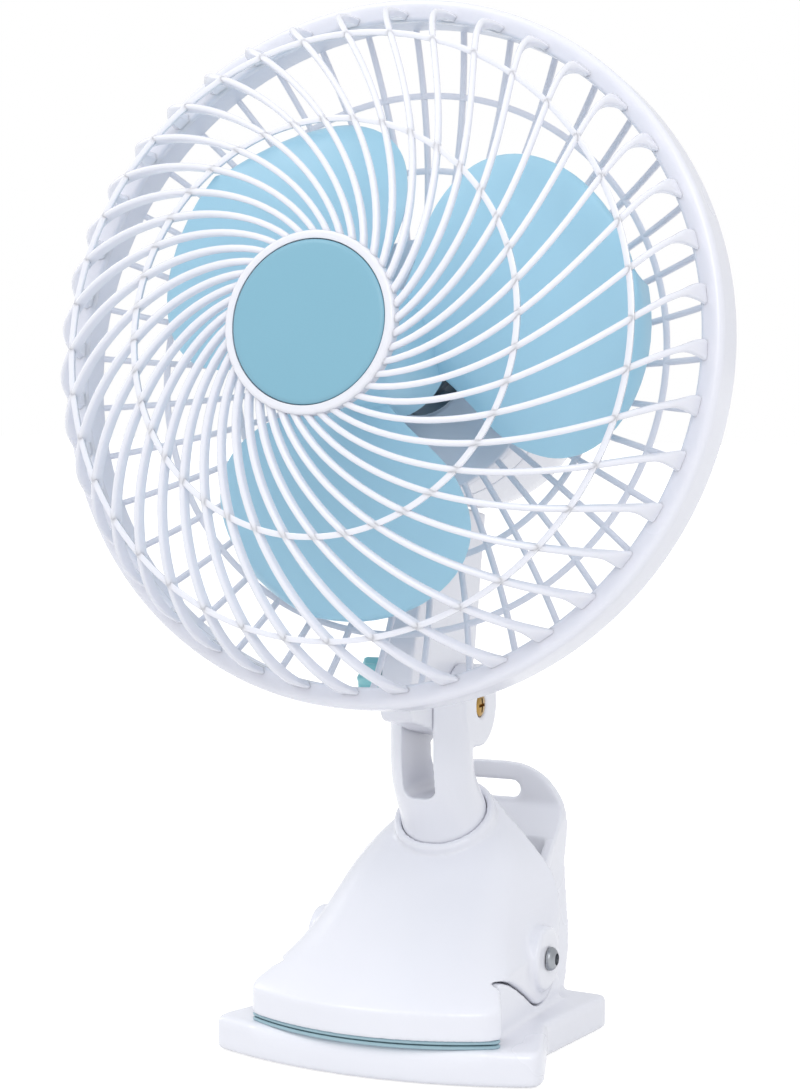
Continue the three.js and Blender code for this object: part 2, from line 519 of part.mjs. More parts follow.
function neck() {
  const sides = 20;
  const along = (s) => [NECK.footY - s * Math.sin(rad(NECK.lean)), NECK.footZ + s * Math.cos(rad(NECK.lean))];
  const toAxis = (NECK.footY - NECK.axisY) / Math.sin(rad(NECK.lean));
  const bendZ = along(toAxis)[1];
  const { lean, footR, r, axisY } = NECK;
  const elbow = [[...along(GAP), lean, footR], [...along(3), lean, footR], [...along(6), lean, r + 0.2],
    [...along(toAxis - 5), lean * 0.8, r], [axisY + 0.9, bendZ, lean * 0.45, r], [axisY, bendZ + 5, 0, r],
    [axisY, NECK_TOP - 1, 0, r], [axisY, NECK_TOP, 0, r - 1]].map((ring) => ringAt(...ring, sides));
  const { spigotR, spigotLong, slotR } = NECK;
  const spigot = collarAlong([[0, -spigotLong], [spigotR, -spigotLong], [spigotR, 3], [0, 3]], 20);
  const ears = barX(NECK.earR, -r, r, PIVOT.y, PIVOT.z, 24);
  const [x, z] = [NECK.slotHalf, PIVOT.z - NECK.slotDeep];
  const above = NECK_TOP + 40;
  const slot = alongY([[x, above], [-x, above], ...arcPoints(-x + slotR, z + slotR, slotR, 180, 270, 3),
    ...arcPoints(x - slotR, z + slotR, slotR, 270, 360, 3)], -30, 60);
  const bore = barX(TILT_SCREW.r + TILT_SCREW.play, -30, 30, PIVOT.y, PIVOT.z);
  const headSink = barX(TILT_SCREW.headR + GAP, r - TILT_SCREW.headHigh, r + 5, PIVOT.y, PIVOT.z);
  const nutSink = barX(TILT_SCREW.nutR + GAP + 0.2, -r - 5, TILT_SCREW.nutHigh - r, PIVOT.y, PIVOT.z, 6);
  const holeR = SWIVEL_SCREW.r + GAP;
  const screwHole = collarAlong([[0, -30], [holeR, -30], [holeR, 1], [0, 1]], 12);
  return cut(join(solid(loft(elbow)), spigot, ears), slot, bore, headSink, nutSink, screwHole);
}

function swivelWasher() {
  const top = -NECK.spigotLong - GAP;
  const [inR, outR] = [SWIVEL_SCREW.r + 0.5, NECK.spigotR + SWIVEL_SCREW.washerOver];
  const under = top - SWIVEL_SCREW.washerThick;
  return collarAlong([[inR, under], [outR, under], [outR, top], [inR, top]], 20);
}

function swivelScrew() {
  const top = -NECK.spigotLong - 2 * GAP - SWIVEL_SCREW.washerThick;
  const { r, headR, headHigh } = SWIVEL_SCREW;
  return collarAlong([[0, top - headHigh], [headR - 0.8, top - headHigh + 0.2], [headR, top - headHigh + 1.2],
    [headR, top], [r, top], [r, 0], [0, 0.4]], 14);
}

function tiltScrew() {
  const head = NECK.r + 0.2;
  const profile = [[0, -NECK.r + 0.2], [TILT_SCREW.r, -NECK.r + 0.6],
    [TILT_SCREW.r, head - TILT_SCREW.headHigh + GAP], [TILT_SCREW.headR, head - TILT_SCREW.headHigh + GAP],
    [TILT_SCREW.headR, head - 0.5], [TILT_SCREW.headR - 0.7, head], [0, head]];
  const body = solid(turned(profile, 16).rotateZ(-Math.PI / 2).translate(0, PIVOT.y, PIVOT.z));
  const [long, wide] = [TILT_SCREW.headR - 1.3, TILT_SCREW.slot / 2];
  const bars = [[long, wide], [wide, long]].map(([y, z]) =>
    block(head - 1, head + 1, PIVOT.y - y, PIVOT.y + y, PIVOT.z - z, PIVOT.z + z));
  return cut(body, bars);
}

function tiltNut() {
  const x0 = -NECK.r + 0.1;
  const nut = barX(TILT_SCREW.nutR, x0, x0 + TILT_SCREW.nutHigh - GAP, PIVOT.y, PIVOT.z, 6);
  return cut(nut, barX(TILT_SCREW.r + TILT_SCREW.play, -30, 30, PIVOT.y, PIVOT.z));
}

// ---------------------------------------------------------------- guards (rim plane at y = 0, axis at z = 0)

function bowlDepth(r) {
  return BOWL.deep * (1 - (r / BOWL.r) ** 2) ** (BOWL.power / 2);
}

// A rib that follows a curve over a dish: a square section whose depth points into the dish.
function rib(count, at, normal, wide, deep) {
  const points = Array.from({ length: count + 1 }, (_, i) => at(i / count));
  return loft(points.map((p, i) => {
    const along = points[Math.min(i + 1, count)].clone().sub(points[Math.max(i - 1, 0)]).normalize();
    const out = normal(i / count);
    const across = along.cross(out).normalize().multiplyScalar(wide(i / count) / 2);
    const down = out.clone().multiplyScalar(-deep(i / count));
    return [p.clone().add(across), p.clone().sub(across), p.clone().sub(across).add(down),
      p.clone().add(across).add(down)];
  }));
}

function aroundAxis(count, make) {
  return Array.from({ length: count }, (_, i) => make(2 * Math.PI * i / count));
}

function swirlSpoke(turn) {
  const first = Math.asin((HUB_RING.r - 1) / BOWL.r);
  const last = rad(89.4);
  const angle = (t) => first + (last - first) * t ** 0.92;
  const swirl = (t) => turn + SPOKES.swirl * Math.log(Math.sin(angle(t)) / Math.sin(first));
  const at = (t) => {
    const [r, d] = [BOWL.r * Math.sin(angle(t)), BOWL.deep * Math.cos(angle(t)) ** BOWL.power];
    return new THREE.Vector3(r * Math.cos(swirl(t)), -d, r * Math.sin(swirl(t)));
  };
  const normal = (t) => {
    const [s, c] = [Math.sin(angle(t)), Math.cos(angle(t))];
    const [outR, outD] = [BOWL.deep * BOWL.power * s * c ** (BOWL.power - 1), BOWL.r * c];
    return new THREE.Vector3(outR * Math.cos(swirl(t)), -outD, outR * Math.sin(swirl(t))).normalize();
  };
  const tab = (t) => THREE.MathUtils.smoothstep(t, 0.8, 1);
  return solid(rib(SPOKES.steps, at, normal, (t) => SPOKES.wide + (SPOKES.tabWide - SPOKES.wide) * tab(t),
    (t) => SPOKES.deep + (SPOKES.tabDeep - SPOKES.deep) * tab(t)));
}

// A ring that joins the spokes: flat outside and tapering inwards.
function hoop(r, d, wide, deep, sides) {
  return turnedAhead([[r, d - deep], [r + wide / 2, d], [r - wide / 2, d]], sides);
}

function frontGuard() {
  const { r, wall, frontD, rearD, flangeD } = RIM;
  const flangeIn = r - RIM.flange;
  const rim = turnedAhead([[flangeIn, flangeD], [r - wall, flangeD], [r - wall, rearD], [r, rearD],
    [r, frontD - 2], [r - 2, frontD], [flangeIn, frontD - 1.5]], SPOKES.count);
  const { seatR, seatD } = hubSeat();
  const hub = turnedAhead([[0, HUB_BACK_D], [HUB_RING.r, HUB_BACK_D], [HUB_RING.r, HUB_RING.frontD],
    [seatR, HUB_RING.frontD], [seatR, seatD], [0, seatD]], SPOKES.count);
  const hoops = RINGS.radii.map((at) =>
    hoop(at, bowlDepth(at) - RINGS.under, RINGS.wide, RINGS.deep, SPOKES.count));
  return join(rim, hub, hoops, aroundAxis(SPOKES.count, swirlSpoke));
}

// The round recess in the hub of the front guard, which the disc is pushed into.
function hubSeat() {
  return { seatR: HUB_RING.r - HUB_RING.lip, seatD: HUB_RING.frontD - HUB_RING.seat };
}

function hubDisc() {
  const { seatR, seatD } = hubSeat();
  const [r, back] = [seatR - GAP, seatD + GAP];
  const front = back + HUB_DISC.thick;
  const { crown, bevel } = HUB_DISC;
  return turnedAhead([[0, back], [r, back], [r, front - crown - bevel], [r - bevel, front - crown],
    [r * 0.6, front - 0.1], [0, front]], 32);
}

const REAR_EDGE_R = RIM.r - RIM.wall - RUN;

function rearDepth(r) {
  const t = (r - REAR.plateR) / (REAR_EDGE_R - REAR.plateR);
  return REAR.plateD + (REAR.edgeD - REAR.plateD) * Math.max(t, 0) ** 2;
}

function rearGuard() {
  const edgeIn = REAR_EDGE_R - REAR.edgeWall;
  const edge = turnedAhead([[edgeIn, RIM.rearD], [REAR_EDGE_R, RIM.rearD], [REAR_EDGE_R, RIM.flangeD - GAP],
    [edgeIn, RIM.flangeD - GAP]], REAR.count);
  const { plateR, plateD, holeR } = REAR;
  const plateBack = plateD - REAR.plateThick;
  const plate = turnedAhead([[holeR, plateBack], [plateR, plateBack], [plateR, plateD], [holeR, plateD]],
    REAR.count);
  const [from, to] = [plateR - 2, REAR_EDGE_R - 1.2];
  const spoke = (turn) => {
    const radius = (t) => from + (to - from) * t;
    const at = (t) => new THREE.Vector3(radius(t) * Math.cos(turn), -rearDepth(radius(t)) + 0.3,
      radius(t) * Math.sin(turn));
    const normal = () => new THREE.Vector3(0, -1, 0);
    return solid(rib(REAR.steps, at, normal, () => REAR.wide, () => REAR.deep));
  };
  const hoops = REAR.radii.map((r) =>
    hoop(r, rearDepth(r) - REAR.under, REAR.wide, REAR.deep - REAR.under, REAR.count));
  return cut(join(edge, plate, hoops, aroundAxis(REAR.count, spoke)), guardScrewPlaces().map(([x, z]) =>
    barAhead(GUARD_SCREW.r + GAP, plateBack - 2, plateD + 2, x, z, 10)));
}

function guardScrewPlaces() {
  const r = GUARD_SCREW.onR;
  return [90, 210, 330].map((a) => [r * Math.cos(rad(a)), r * Math.sin(rad(a))]);
}

function guardScrew([x, z]) {
  const seat = REAR.plateD + GAP;
  const { r, headR, headHigh, long } = GUARD_SCREW;
  return turned([[0, long - seat], [r, long - seat - 0.6], [r, -seat], [headR, -seat],
    [headR * 0.75, -seat - headHigh], [0, -seat - headHigh]], 10).translate(x, 0, z);
}

// ---------------------------------------------------------------- blades

function blade(turn) {
  const rows = [];
  for (let k = 0; k <= BLADES.rows; k++) {
    const t = k / BLADES.rows;
    const r = BLADES.rootR + (BLADES.tipR - BLADES.rootR) * Math.sin(t * Math.PI / 2) ** 0.9;
    const u = (r - BLADES.rootR) / (BLADES.tipR - BLADES.rootR);
    const round = Math.sqrt(Math.max(1 - u ** 5, 0.02));
    const spread = Math.sin(Math.PI / 2 * Math.min(u * 2, 1));
    const half = rad(BLADES.rootHalf + BLADES.fanOut * spread) * round;
    const front = [];
    const back = [];
    for (let i = 0; i <= BLADES.columns; i++) {
      const s = 2 * i / BLADES.columns - 1;
      const a = turn - rad(BLADES.sweep * u) + half * s;
      const d = BLADES.midD + BLADES.pitch * s * (1 - 0.25 * u) + BLADES.camber * (1 - s * s)
        - BLADES.backAtTip * u;
      front.push(new THREE.Vector3(r * Math.cos(a), -d - BLADES.thick / 2, r * Math.sin(a)));
      back.unshift(new THREE.Vector3(r * Math.cos(a), -d + BLADES.thick / 2, r * Math.sin(a)));
    }
    rows.push([...front, ...back]);
  }
  return solid(loft(rows));
}

function impeller() {
  const { r, wall, bossR, boreLong, crown } = BLADE_HUB;
  const [frontD, backD] = [BLADE_FRONT_D, BLADE_BACK_D];
  const bossBack = frontD - crown - boreLong;
  const cup = turnedAhead([[0, frontD], [r * 0.45, frontD - 0.8], [r * 0.8, frontD - 4.5], [r, frontD - 11],
    [r + 0.4, backD], [r - wall, backD], [r - wall, frontD - 12], [r * 0.7, frontD - crown - 2],
    [bossR, frontD - crown], [bossR, bossBack], [0, bossBack]], 20);
  const bore = barAhead(SHAFT.r + GAP, bossBack - 5, SHAFT_FRONT_D + GAP);
  const blades = aroundAxis(BLADES.count, (turn) => blade(rad(BLADES.firstAngle) + turn));
  const inside = turnedAhead([[0, backD - 5], [r - wall + 0.2, backD - 5], [r - wall + 0.2, frontD - 12],
    [r * 0.7, frontD - crown - 2.2], [bossR, frontD - crown - 0.2], [0, frontD - crown - 0.2]], 20);
  return cut(join(cup, cut(join(blades), inside)), bore);
}

// ---------------------------------------------------------------- motor and its housing

function ringSlots(count, inR, outR, wide, d0, d1) {
  return aroundAxis(count, (turn) => {
    const g = new THREE.BoxGeometry(outR - inR, Math.abs(d1 - d0), wide);
    return solid(g.translate((inR + outR) / 2, -(d0 + d1) / 2, 0).rotateY(-turn));
  });
}

function stemSide() {
  // [y, z] from the tilt pivot
  const top = AXIS_ABOVE_PIVOT - HOUSING.r + 6;
  const { endR, frontY } = STEM;
  return [[endR + 2.5, top], [endR + 1.5, 24], ...arcPoints(0, 0, endR, 12, -100, 8), [-14, 0.9 - endR],
    [frontY + 9.5, 2.5 - endR], ...arcPoints(frontY + 5, -1, 5, 245, 180, 4), [frontY, 10], [frontY + 2, 26],
    [frontY + 4.5, 44], [frontY + 6.5, top]];
}

function motorHousing() {
  const { r, wall, noseR } = HOUSING;
  const [frontD, joinD] = [FRONT_D, JOIN_D];
  const cup = turnedAhead([[noseR, frontD], [r - 4, frontD], [r - 1, frontD - 1.2], [r, frontD - 4],
    [r, joinD], [r - wall, joinD], [r - wall, frontD - wall - 2.5], [noseR, frontD - wall]], 28);
  const place = (s) => s.translate([0, RIM_AHEAD_OF_PIVOT, -AXIS_ABOVE_PIVOT]);
  const room = SWITCH.bodyHalf + GAP;
  const tongue = cut(acrossX(stemSide(), -STEM.half, STEM.half),
    barX(TILT_SCREW.r + GAP, -30, 30, 0, 0),
    block(-STEM.half - 1, SWITCH.reach, SWITCH_Y - room, SWITCH_Y + room, SWITCH.z - room, SWITCH.z + room));
  const stem = cut(place(tongue), barAhead(r - wall + 0.3, joinD - 60, frontD - wall, 0, 0, 28),
    block(-60, 60, -joinD - 0.2, -joinD + 80, -r, r));
  const posts = guardScrewPlaces().map(([x, z]) =>
    barAhead(GUARD_SCREW.r + GUARD_SCREW.postWall, frontD - GUARD_SCREW.long + 1, frontD - 0.5, x, z, 12));
  const holes = guardScrewPlaces().map(([x, z]) =>
    barAhead(GUARD_SCREW.r + GUARD_SCREW.play, frontD - 30, frontD + 5, x, z, 10));
  const { r: screwR, x, play, postWall } = MOTOR_SCREW;
  const screwPosts = [-x, x].map((at) =>
    barAhead(screwR + postWall, FRONT_BRACKET_D + GAP, frontD - 0.5, at, 0, 12));
  const screwHoles = [-x, x].map((at) => barAhead(screwR + play, frontD - 30, frontD - wall, at, 0, 10));
  const vents = ringSlots(VENTS.front, VENTS.frontInR, VENTS.frontOutR, VENTS.wide, frontD - 4, frontD + 2)
    .filter((_, i) => ![0, 7, 10, 11].includes(i));
  return cut(join(cut(cup, vents), stem, posts, screwPosts), holes, screwHoles);
}

function motorCover() {
  const { r, wall } = HOUSING;
  const [front, rearD] = [JOIN_D - GAP, REAR_D];
  const cup = turnedAhead([[r, front], [r, rearD + 22], [r - 2.5, rearD + 10], [r - 8, rearD + 2.6],
    [r - 15, rearD], [0, rearD], [0, rearD + wall], [r - 15.5, rearD + wall], [r - 9.4, rearD + 4.8],
    [r - 4.8, rearD + 11.5], [r - wall, rearD + 22], [r - wall, front]], 28);
  const vents = ringSlots(VENTS.rear, VENTS.rearInR, VENTS.rearOutR, VENTS.wide, rearD - 2, rearD + 6)
    .filter((_, i) => ![10, 11].includes(i));
  const stemRoom = block(-STEM.half - GAP, STEM.half + GAP, -front - 5, RIM_AHEAD_OF_PIVOT + STEM.endR + 4,
    -r - 5, -r + wall + 0.4);
  const inlet = barAhead(INLET.r, rearD - 2, rearD + 12, 0, -INLET.drop);
  return cut(cup, vents, inlet, stemRoom);
}

// A bare grommet where the cord would enter.
function cordInlet() {
  const { r, wall, flange, flangeThick, inside } = INLET;
  const back = REAR_D;
  return turned([[r - GAP - wall, -(back + inside)], [r - GAP, -(back + inside)], [r - GAP, -(back - GAP)],
    [r + flange, -(back - GAP)], [r + flange, -(back - flangeThick)], [r + 0.6, -(back - flangeThick - 1)],
    [r - GAP - wall, -(back - flangeThick - 1)]], 16).translate(0, 0, -INLET.drop);
}

function statorCore() {
  const { half, corner, boreR } = STATOR;
  const plan = [[-half, corner - half], [corner - half, -half], [half - corner, -half], [half, corner - half],
    [half, half - corner], [half - corner, half], [corner - half, half], [-half, half - corner]];
  const core = alongY(plan, -STATOR_FRONT_D, -STATOR_REAR_D);
  const screws = [-1, 1].map((side) => barAhead(MOTOR_SCREW.r + GAP, STATOR_REAR_D - 5, STATOR_FRONT_D + 5,
    side * MOTOR_SCREW.x, 0, 10));
  return cut(core, barAhead(boreR, STATOR_REAR_D - 5, STATOR_FRONT_D + 5, 0, 0, 24), screws);
}

// The coil sits over the core's upper limb.
function coilBody() {
  const { half: x, deep, wire } = COIL;
  const { half } = STATOR;
  const [front, rear] = [-STATOR_FRONT_D, -STATOR_REAR_D];
  const outer = block(-x, x, front - wire, rear + wire, half - deep, half + wire);
  return cut(outer, block(-x - 1, x + 1, front - GAP, rear + GAP, half - deep - 5, half + GAP));
}

function rotor() {
  const [frontD, rearD, over] = [STATOR_FRONT_D, STATOR_REAR_D, ROTOR.over];
  const [inR, r] = [SHAFT.r + GAP, ROTOR.r];
  return turnedAhead([[inR, rearD - over], [r - 1, rearD - over], [r, rearD], [r, frontD],
    [r - 1, frontD + over], [inR, frontD + over]], 24);
}

function shaft() {
  const rearD = REAR_BRACKET_D - BRACKET.thick - SHAFT.past;
  const { r } = SHAFT;
  return turnedAhead([[0, rearD], [r - 0.4, rearD], [r, rearD + 0.5], [r, SHAFT_FRONT_D - 0.5],
    [r - 0.4, SHAFT_FRONT_D], [0, SHAFT_FRONT_D]], 16);
}

// A strap with a round seat for the bush, held on the core by two feet. d is its front face.
function bracket(d, front) {
  const { thick, r, half, bushR, seatLong } = BRACKET;
  const back = d - thick;
  const plate = turnedAhead([[bushR + GAP, back], [r, back], [r, d], [bushR + GAP, d]], 20);
  const flat = plate.intersect(block(-r - 5, r + 5, -d - 5, -back + 5, -half, half));
  const [seatBack, seatFront] = front ? [back, d + seatLong] : [back - seatLong, d];
  const seat = turnedAhead([[bushR + GAP, seatBack], [bushR + 2, seatBack], [bushR + 2, seatFront],
    [bushR + GAP, seatFront]], 16);
  const [footBack, footFront] = front ? [STATOR_FRONT_D + GAP, back + 0.5] : [d - 0.5, STATOR_REAR_D - GAP];
  const feet = [-1, 1].map((side) => barAhead(MOTOR_SCREW.r + MOTOR_SCREW.footWall, footBack, footFront,
    side * MOTOR_SCREW.x, 0, 10));
  const holes = [-1, 1].map((side) => barAhead(MOTOR_SCREW.r + GAP, footBack - 9, footFront + 9,
    side * MOTOR_SCREW.x, 0, 10));
  return cut(join(flat, seat, feet), holes);
}

function bush(midD) {
  const half = BRACKET.bushLong / 2;
  const inR = SHAFT.r + SHAFT.bush;
  return turnedAhead([[inR, midD - half], [BRACKET.bushR, midD - half], [BRACKET.bushR, midD + half],
    [inR, midD + half]], 16);
}

// Runs from behind the rear bracket through the core into a post of the housing.
function motorScrew(side) {
  const { r, headR, headHigh, x } = MOTOR_SCREW;
  const head = REAR_BRACKET_D - BRACKET.thick - GAP;
  const tip = FRONT_D - HOUSING.wall - 1;
  return turned([[0, -tip], [r, -(tip - 0.6)], [r, -head], [headR, -head], [headR * 0.8, -(head - headHigh)],
    [0, -(head - headHigh)]], 10).translate(side * x, 0, 0);
}

// ---------------------------------------------------------------- speed switch (from the tilt pivot)

function switchBody() {
  const h = SWITCH.bodyHalf;
  const box = block(0.2 - STEM.half, SWITCH.reach - GAP, SWITCH_Y - h, SWITCH_Y + h,
    SWITCH.z - h, SWITCH.z + h);
  return join(box, barX(SWITCH.bushR, -STEM.half - 0.4, 1 - STEM.half, SWITCH_Y, SWITCH.z));
}

function switchKnob() {
  const x0 = -STEM.half - RUN - 0.2;
  const x1 = x0 - SWITCH.knobLong;
  const { knobR, ribR, z } = SWITCH;
  const body = turned([[0, x1], [knobR - 1, x1], [knobR, x1 + 1], [knobR, x0], [0, x0]], 20);
  const ribs = aroundAxis(SWITCH.ribs, (a) =>
    barX(ribR, x0, x1 + 1, SWITCH_Y + (knobR - 0.1) * Math.cos(a), z + (knobR - 0.1) * Math.sin(a), 5));
  return join(solid(body.rotateZ(-Math.PI / 2).translate(0, SWITCH_Y, z)), ribs);
}

// ---------------------------------------------------------------- assembly

const clip = new THREE.Group();
clip.add(
  piece('clip_base', clipBase(), WHITE),
  piece('hinge_pin', hingePin(), STEEL),
  piece('torsion_spring', torsionSpring(), STEEL),
  piece('lower_jaw_pad', jawPad(BASE.thick), PALE_TEAL),
  ...footPlaces().map((at, i) => piece(`foot_pad_${i + 1}`, footPad(at), DARK)),
  piece('upper_jaw', upperJaw(), WHITE),
  piece('upper_jaw_pad', jawPad(LIP.bottom - PAD.thick), PALE_TEAL),
  piece('neck', neck(), WHITE),
  piece('swivel_washer', swivelWasher(), STEEL),
  piece('swivel_screw', swivelScrew(), STEEL),
  piece('tilt_screw', tiltScrew(), BRASS),
  piece('tilt_nut', tiltNut(), STEEL),
);

// The fan's own frame: rim plane at y = 0 and axis at z = 0, placed from the tilt pivot.
const fan = new THREE.Group();
fan.position.set(0, -RIM_AHEAD_OF_PIVOT, AXIS_ABOVE_PIVOT);
fan.add(
  piece('front_guard', frontGuard(), WHITE),
  piece('hub_disc', hubDisc(), BLUE),
  piece('rear_guard', rearGuard(), WHITE),
  ...guardScrewPlaces().map((at, i) => piece(`guard_screw_${i + 1}`, guardScrew(at), STEEL)),
  piece('impeller', impeller(), BLUE),
  piece('motor_shaft', shaft(), STEEL),
  piece('rotor', rotor(), STEEL),
  piece('stator_core', statorCore(), STEEL),
  piece('stator_coil', coilBody(), COPPER),
  piece('front_bracket', bracket(FRONT_BRACKET_D, true), STEEL),
  piece('rear_bracket', bracket(REAR_BRACKET_D, false), STEEL),
  piece('front_bush', bush(FRONT_BRACKET_D), BRONZE),
  piece('rear_bush', bush(REAR_BRACKET_D - BRACKET.thick), BRONZE),
  piece('motor_screw_1', motorScrew(-1), STEEL),
  piece('motor_screw_2', motorScrew(1), STEEL),
  piece('motor_housing', motorHousing(), WHITE),
  piece('motor_cover', motorCover(), WHITE),
  piece('cord_inlet', cordInlet(), WHITE),
);

const head = new THREE.Group();
head.position.set(0, PIVOT.y, PIVOT.z);
head.rotation.x = -rad(TILT_UP);
head.add(fan, piece('switch_body', switchBody(), DARK), piece('switch_knob', switchKnob(), TEAL));

const clipFan = new THREE.Group();
clipFan.add(clip, head);

export default clipFan;
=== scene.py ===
"""Clip fan: a table fan on a spring clip. Metres, +Z up; it blows to -Y and +X is its right from the front.

Each section makes one piece in millimetres, in the axes that suit it, and sets it down in the frame.
"""
import json
from math import acos, asin, atan2, cos, degrees, hypot, log, pi, radians, sin, sqrt

import bmesh
import bpy
from mathutils import Matrix, Vector


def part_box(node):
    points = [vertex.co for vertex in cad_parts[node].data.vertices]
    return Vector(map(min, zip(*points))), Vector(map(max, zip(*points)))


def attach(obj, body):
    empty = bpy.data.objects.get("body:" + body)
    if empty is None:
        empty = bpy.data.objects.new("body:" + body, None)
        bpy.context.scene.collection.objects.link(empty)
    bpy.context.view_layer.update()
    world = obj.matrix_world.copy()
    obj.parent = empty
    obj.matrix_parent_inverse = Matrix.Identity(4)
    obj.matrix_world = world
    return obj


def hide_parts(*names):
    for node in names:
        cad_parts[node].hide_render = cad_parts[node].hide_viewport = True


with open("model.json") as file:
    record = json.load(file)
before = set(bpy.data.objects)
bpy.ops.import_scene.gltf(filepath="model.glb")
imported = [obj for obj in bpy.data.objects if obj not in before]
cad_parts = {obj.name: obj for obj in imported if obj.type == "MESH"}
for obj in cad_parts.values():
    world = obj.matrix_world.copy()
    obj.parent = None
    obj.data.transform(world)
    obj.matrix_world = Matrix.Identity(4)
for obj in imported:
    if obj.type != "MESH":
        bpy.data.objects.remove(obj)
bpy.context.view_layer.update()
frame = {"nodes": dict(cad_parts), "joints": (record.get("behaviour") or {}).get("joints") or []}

# ---------------------------------------------------------------- clip base
# The foot of the fan: one injection moulding of glossy white ABS. The waisted plate carries a hollow grip
# with a finger slot at the back, two lugs for the hinge pin, and the skirts that the jaw's edge runs over.

MM = 0.001
WALL = 2.4
RUN = 0.6
FAR = 60                       # beyond the piece on every side, for the tools that cut it


def box_mm(node):
    """The low and high corners of a node's box, in millimetres."""
    return [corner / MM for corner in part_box(node)]


joints = {joint["name"]: joint for joint in frame["joints"]}
HINGE = Vector(joints["clip_open"]["pos_m"]) / MM
base_low, base_high = box_mm("clip_base")
BASE_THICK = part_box("lower_jaw_pad")[0].z / MM
PLATE = {"front_bulge": 10, "cheek": 4, "waist_y": 1, "waist_half": 40.5, "rear_y": 39, "rear_half": 45.6,
         "rear_bulge": 3, "edge": 1.5}
GRIP = {"half": 25, "corner": 20, "foot_half": 31, "lean": 23, "wall": 3, "slot_half": 9.6, "slot_high": 5.4,
        "slot_below_top": 8.2, "pad": 8}
LUG = {"x": 20.5, "thick": 3.8, "r": 8, "bore": 2.15, "lobe": 13}
COVE = {"half": 36, "low": 4.6, "deep": 3.4}
OPEN_LEAN = radians(20)
JAW_REAR_SLOPE = 0.19
SKIRT_X, SKIRT_THICK = 33.9, 5.4
SIDE_Y = -20
SKIRT_CURVE = [(SIDE_Y, 0.3), (-16, -0.2), (-11, -1.8), (-5.5, -4.4), (0, -7.4)]     # y, height over the hinge


def settle(piece):
    """Turns what the modifiers show into the piece's own plain mesh."""
    shown = piece.evaluated_get(bpy.context.evaluated_depsgraph_get())
    mesh = bpy.data.meshes.new_from_object(shown)
    old = piece.data
    piece.modifiers.clear()
    piece.data = mesh
    bpy.data.meshes.remove(old)
    return piece


def in_scene(name, data):
    """A new object in the scene that carries this data."""
    thing = bpy.data.objects.new(name, data)
    bpy.context.scene.collection.objects.link(thing)
    return thing


def closed_piece(name, points, faces):
    """A closed mesh from points in millimetres, with its seams and poles merged and its faces outwards."""
    mesh = bpy.data.meshes.new(name)
    mesh.from_pydata(points, [], faces)
    shape = bmesh.new()
    shape.from_mesh(mesh)
    bmesh.ops.remove_doubles(shape, verts=shape.verts, dist=1e-4)
    bmesh.ops.recalc_face_normals(shape, faces=shape.faces)
    shape.to_mesh(mesh)
    shape.free()
    return in_scene(name, mesh)


def skinned(name, rings):
    """Skins rings that have as many points each, and closes both ends."""
    n = len(rings[0])
    last = (len(rings) - 1) * n
    faces = [[k + i, k + (i + 1) % n, k + n + (i + 1) % n, k + n + i] for k in range(0, last, n)
             for i in range(n)]
    faces += [list(range(n)), list(range(last, last + n))]
    return closed_piece(name, [point for ring in rings for point in ring], faces)


def whole_turn(steps):
    """The angles of a whole turn, in equal steps."""
    return [2 * pi * k / steps for k in range(steps)]


def about_y(r, angle, ahead):
    """A point at a radius and an angle round Y, and a distance ahead, which is to -Y."""
    return Vector((r * cos(angle), -ahead, r * sin(angle)))


def turned(name, profile, sides=96):
    """Turned about Y. The profile's points are (radius, distance ahead)."""
    n = len(profile)
    open_ended = profile[0][0] == 0 and profile[-1][0] == 0
    points = [about_y(r, a, ahead) for a in whole_turn(sides) for r, ahead in profile]
    faces = [[k * n + i, k * n + (i + 1) % n, (k + 1) % sides * n + (i + 1) % n, (k + 1) % sides * n + i]
             for k in range(sides) for i in range(n - 1 if open_ended else n)]
    return closed_piece(name, points, faces)


def drawn(name, outline, start, end, along="Z"):
    """An outline drawn out along one axis. It is seen as (x, y), along Y as (x, z), along X as (y, z)."""
    place = {"X": lambda u, v, w: (w, u, v), "Y": lambda u, v, w: (u, w, v), "Z": lambda u, v, w: (u, v, w)}
    return skinned(name, [[place[along](u, v, w) for u, v in outline] for w in (start, end)])


def block(x, y, z):
    """A box from three pairs of low and high."""
    return drawn("block", [(x[0], y[0]), (x[1], y[0]), (x[1], y[1]), (x[0], y[1])], *z)


def arc(u, v, r, start, end, steps):
    """Points on an arc about (u, v), between two angles in degrees."""
    angles = (radians(start + (end - start) * k / steps) for k in range(steps + 1))
    return [(u + r * cos(a), v + r * sin(a)) for a in angles]


def quarter(steps, first=0):
    """The angles of a quarter turn, in equal steps from the first one on."""
    return [pi / 2 * k / steps for k in range(first, steps + 1)]


def mirrored(outline):
    """The outline's other half, at -x and in the opposite order. A corner keeps its reach."""
    return [(-x, *rest) for x, *rest in reversed(outline)]


def rounded(corners, steps=6):
    """An outline whose corners (u, v, reach) are rounded off. A corner without a reach stays sharp."""
    outline = []
    for i, corner in enumerate(corners):
        here = Vector(corner[:2])
        if len(corner) == 2:
            outline.append(tuple(here))
            continue
        ends = []
        for other in (corners[i - 1], corners[(i + 1) % len(corners)]):
            way = Vector(other[:2]) - here
            ends.append(here + way.normalized() * min(corner[2], way.length * 0.49))
        for k in range(steps + 1):
            t = k / steps
            outline.append(tuple(ends[0] * (1 - t) ** 2 + here * 2 * t * (1 - t) + ends[1] * t ** 2))
    return outline


def combined(piece, operation, *tools):
    """Joins the tools to the piece, cuts them from it or keeps what they share, and uses them up."""
    for tool in tools:
        step = piece.modifiers.new("shape", "BOOLEAN")
        step.operation = operation
        step.solver = "MANIFOLD"
        step.object = tool
        settle(piece)
        bpy.data.objects.remove(tool)
    piece.data.materials.clear()
    return piece


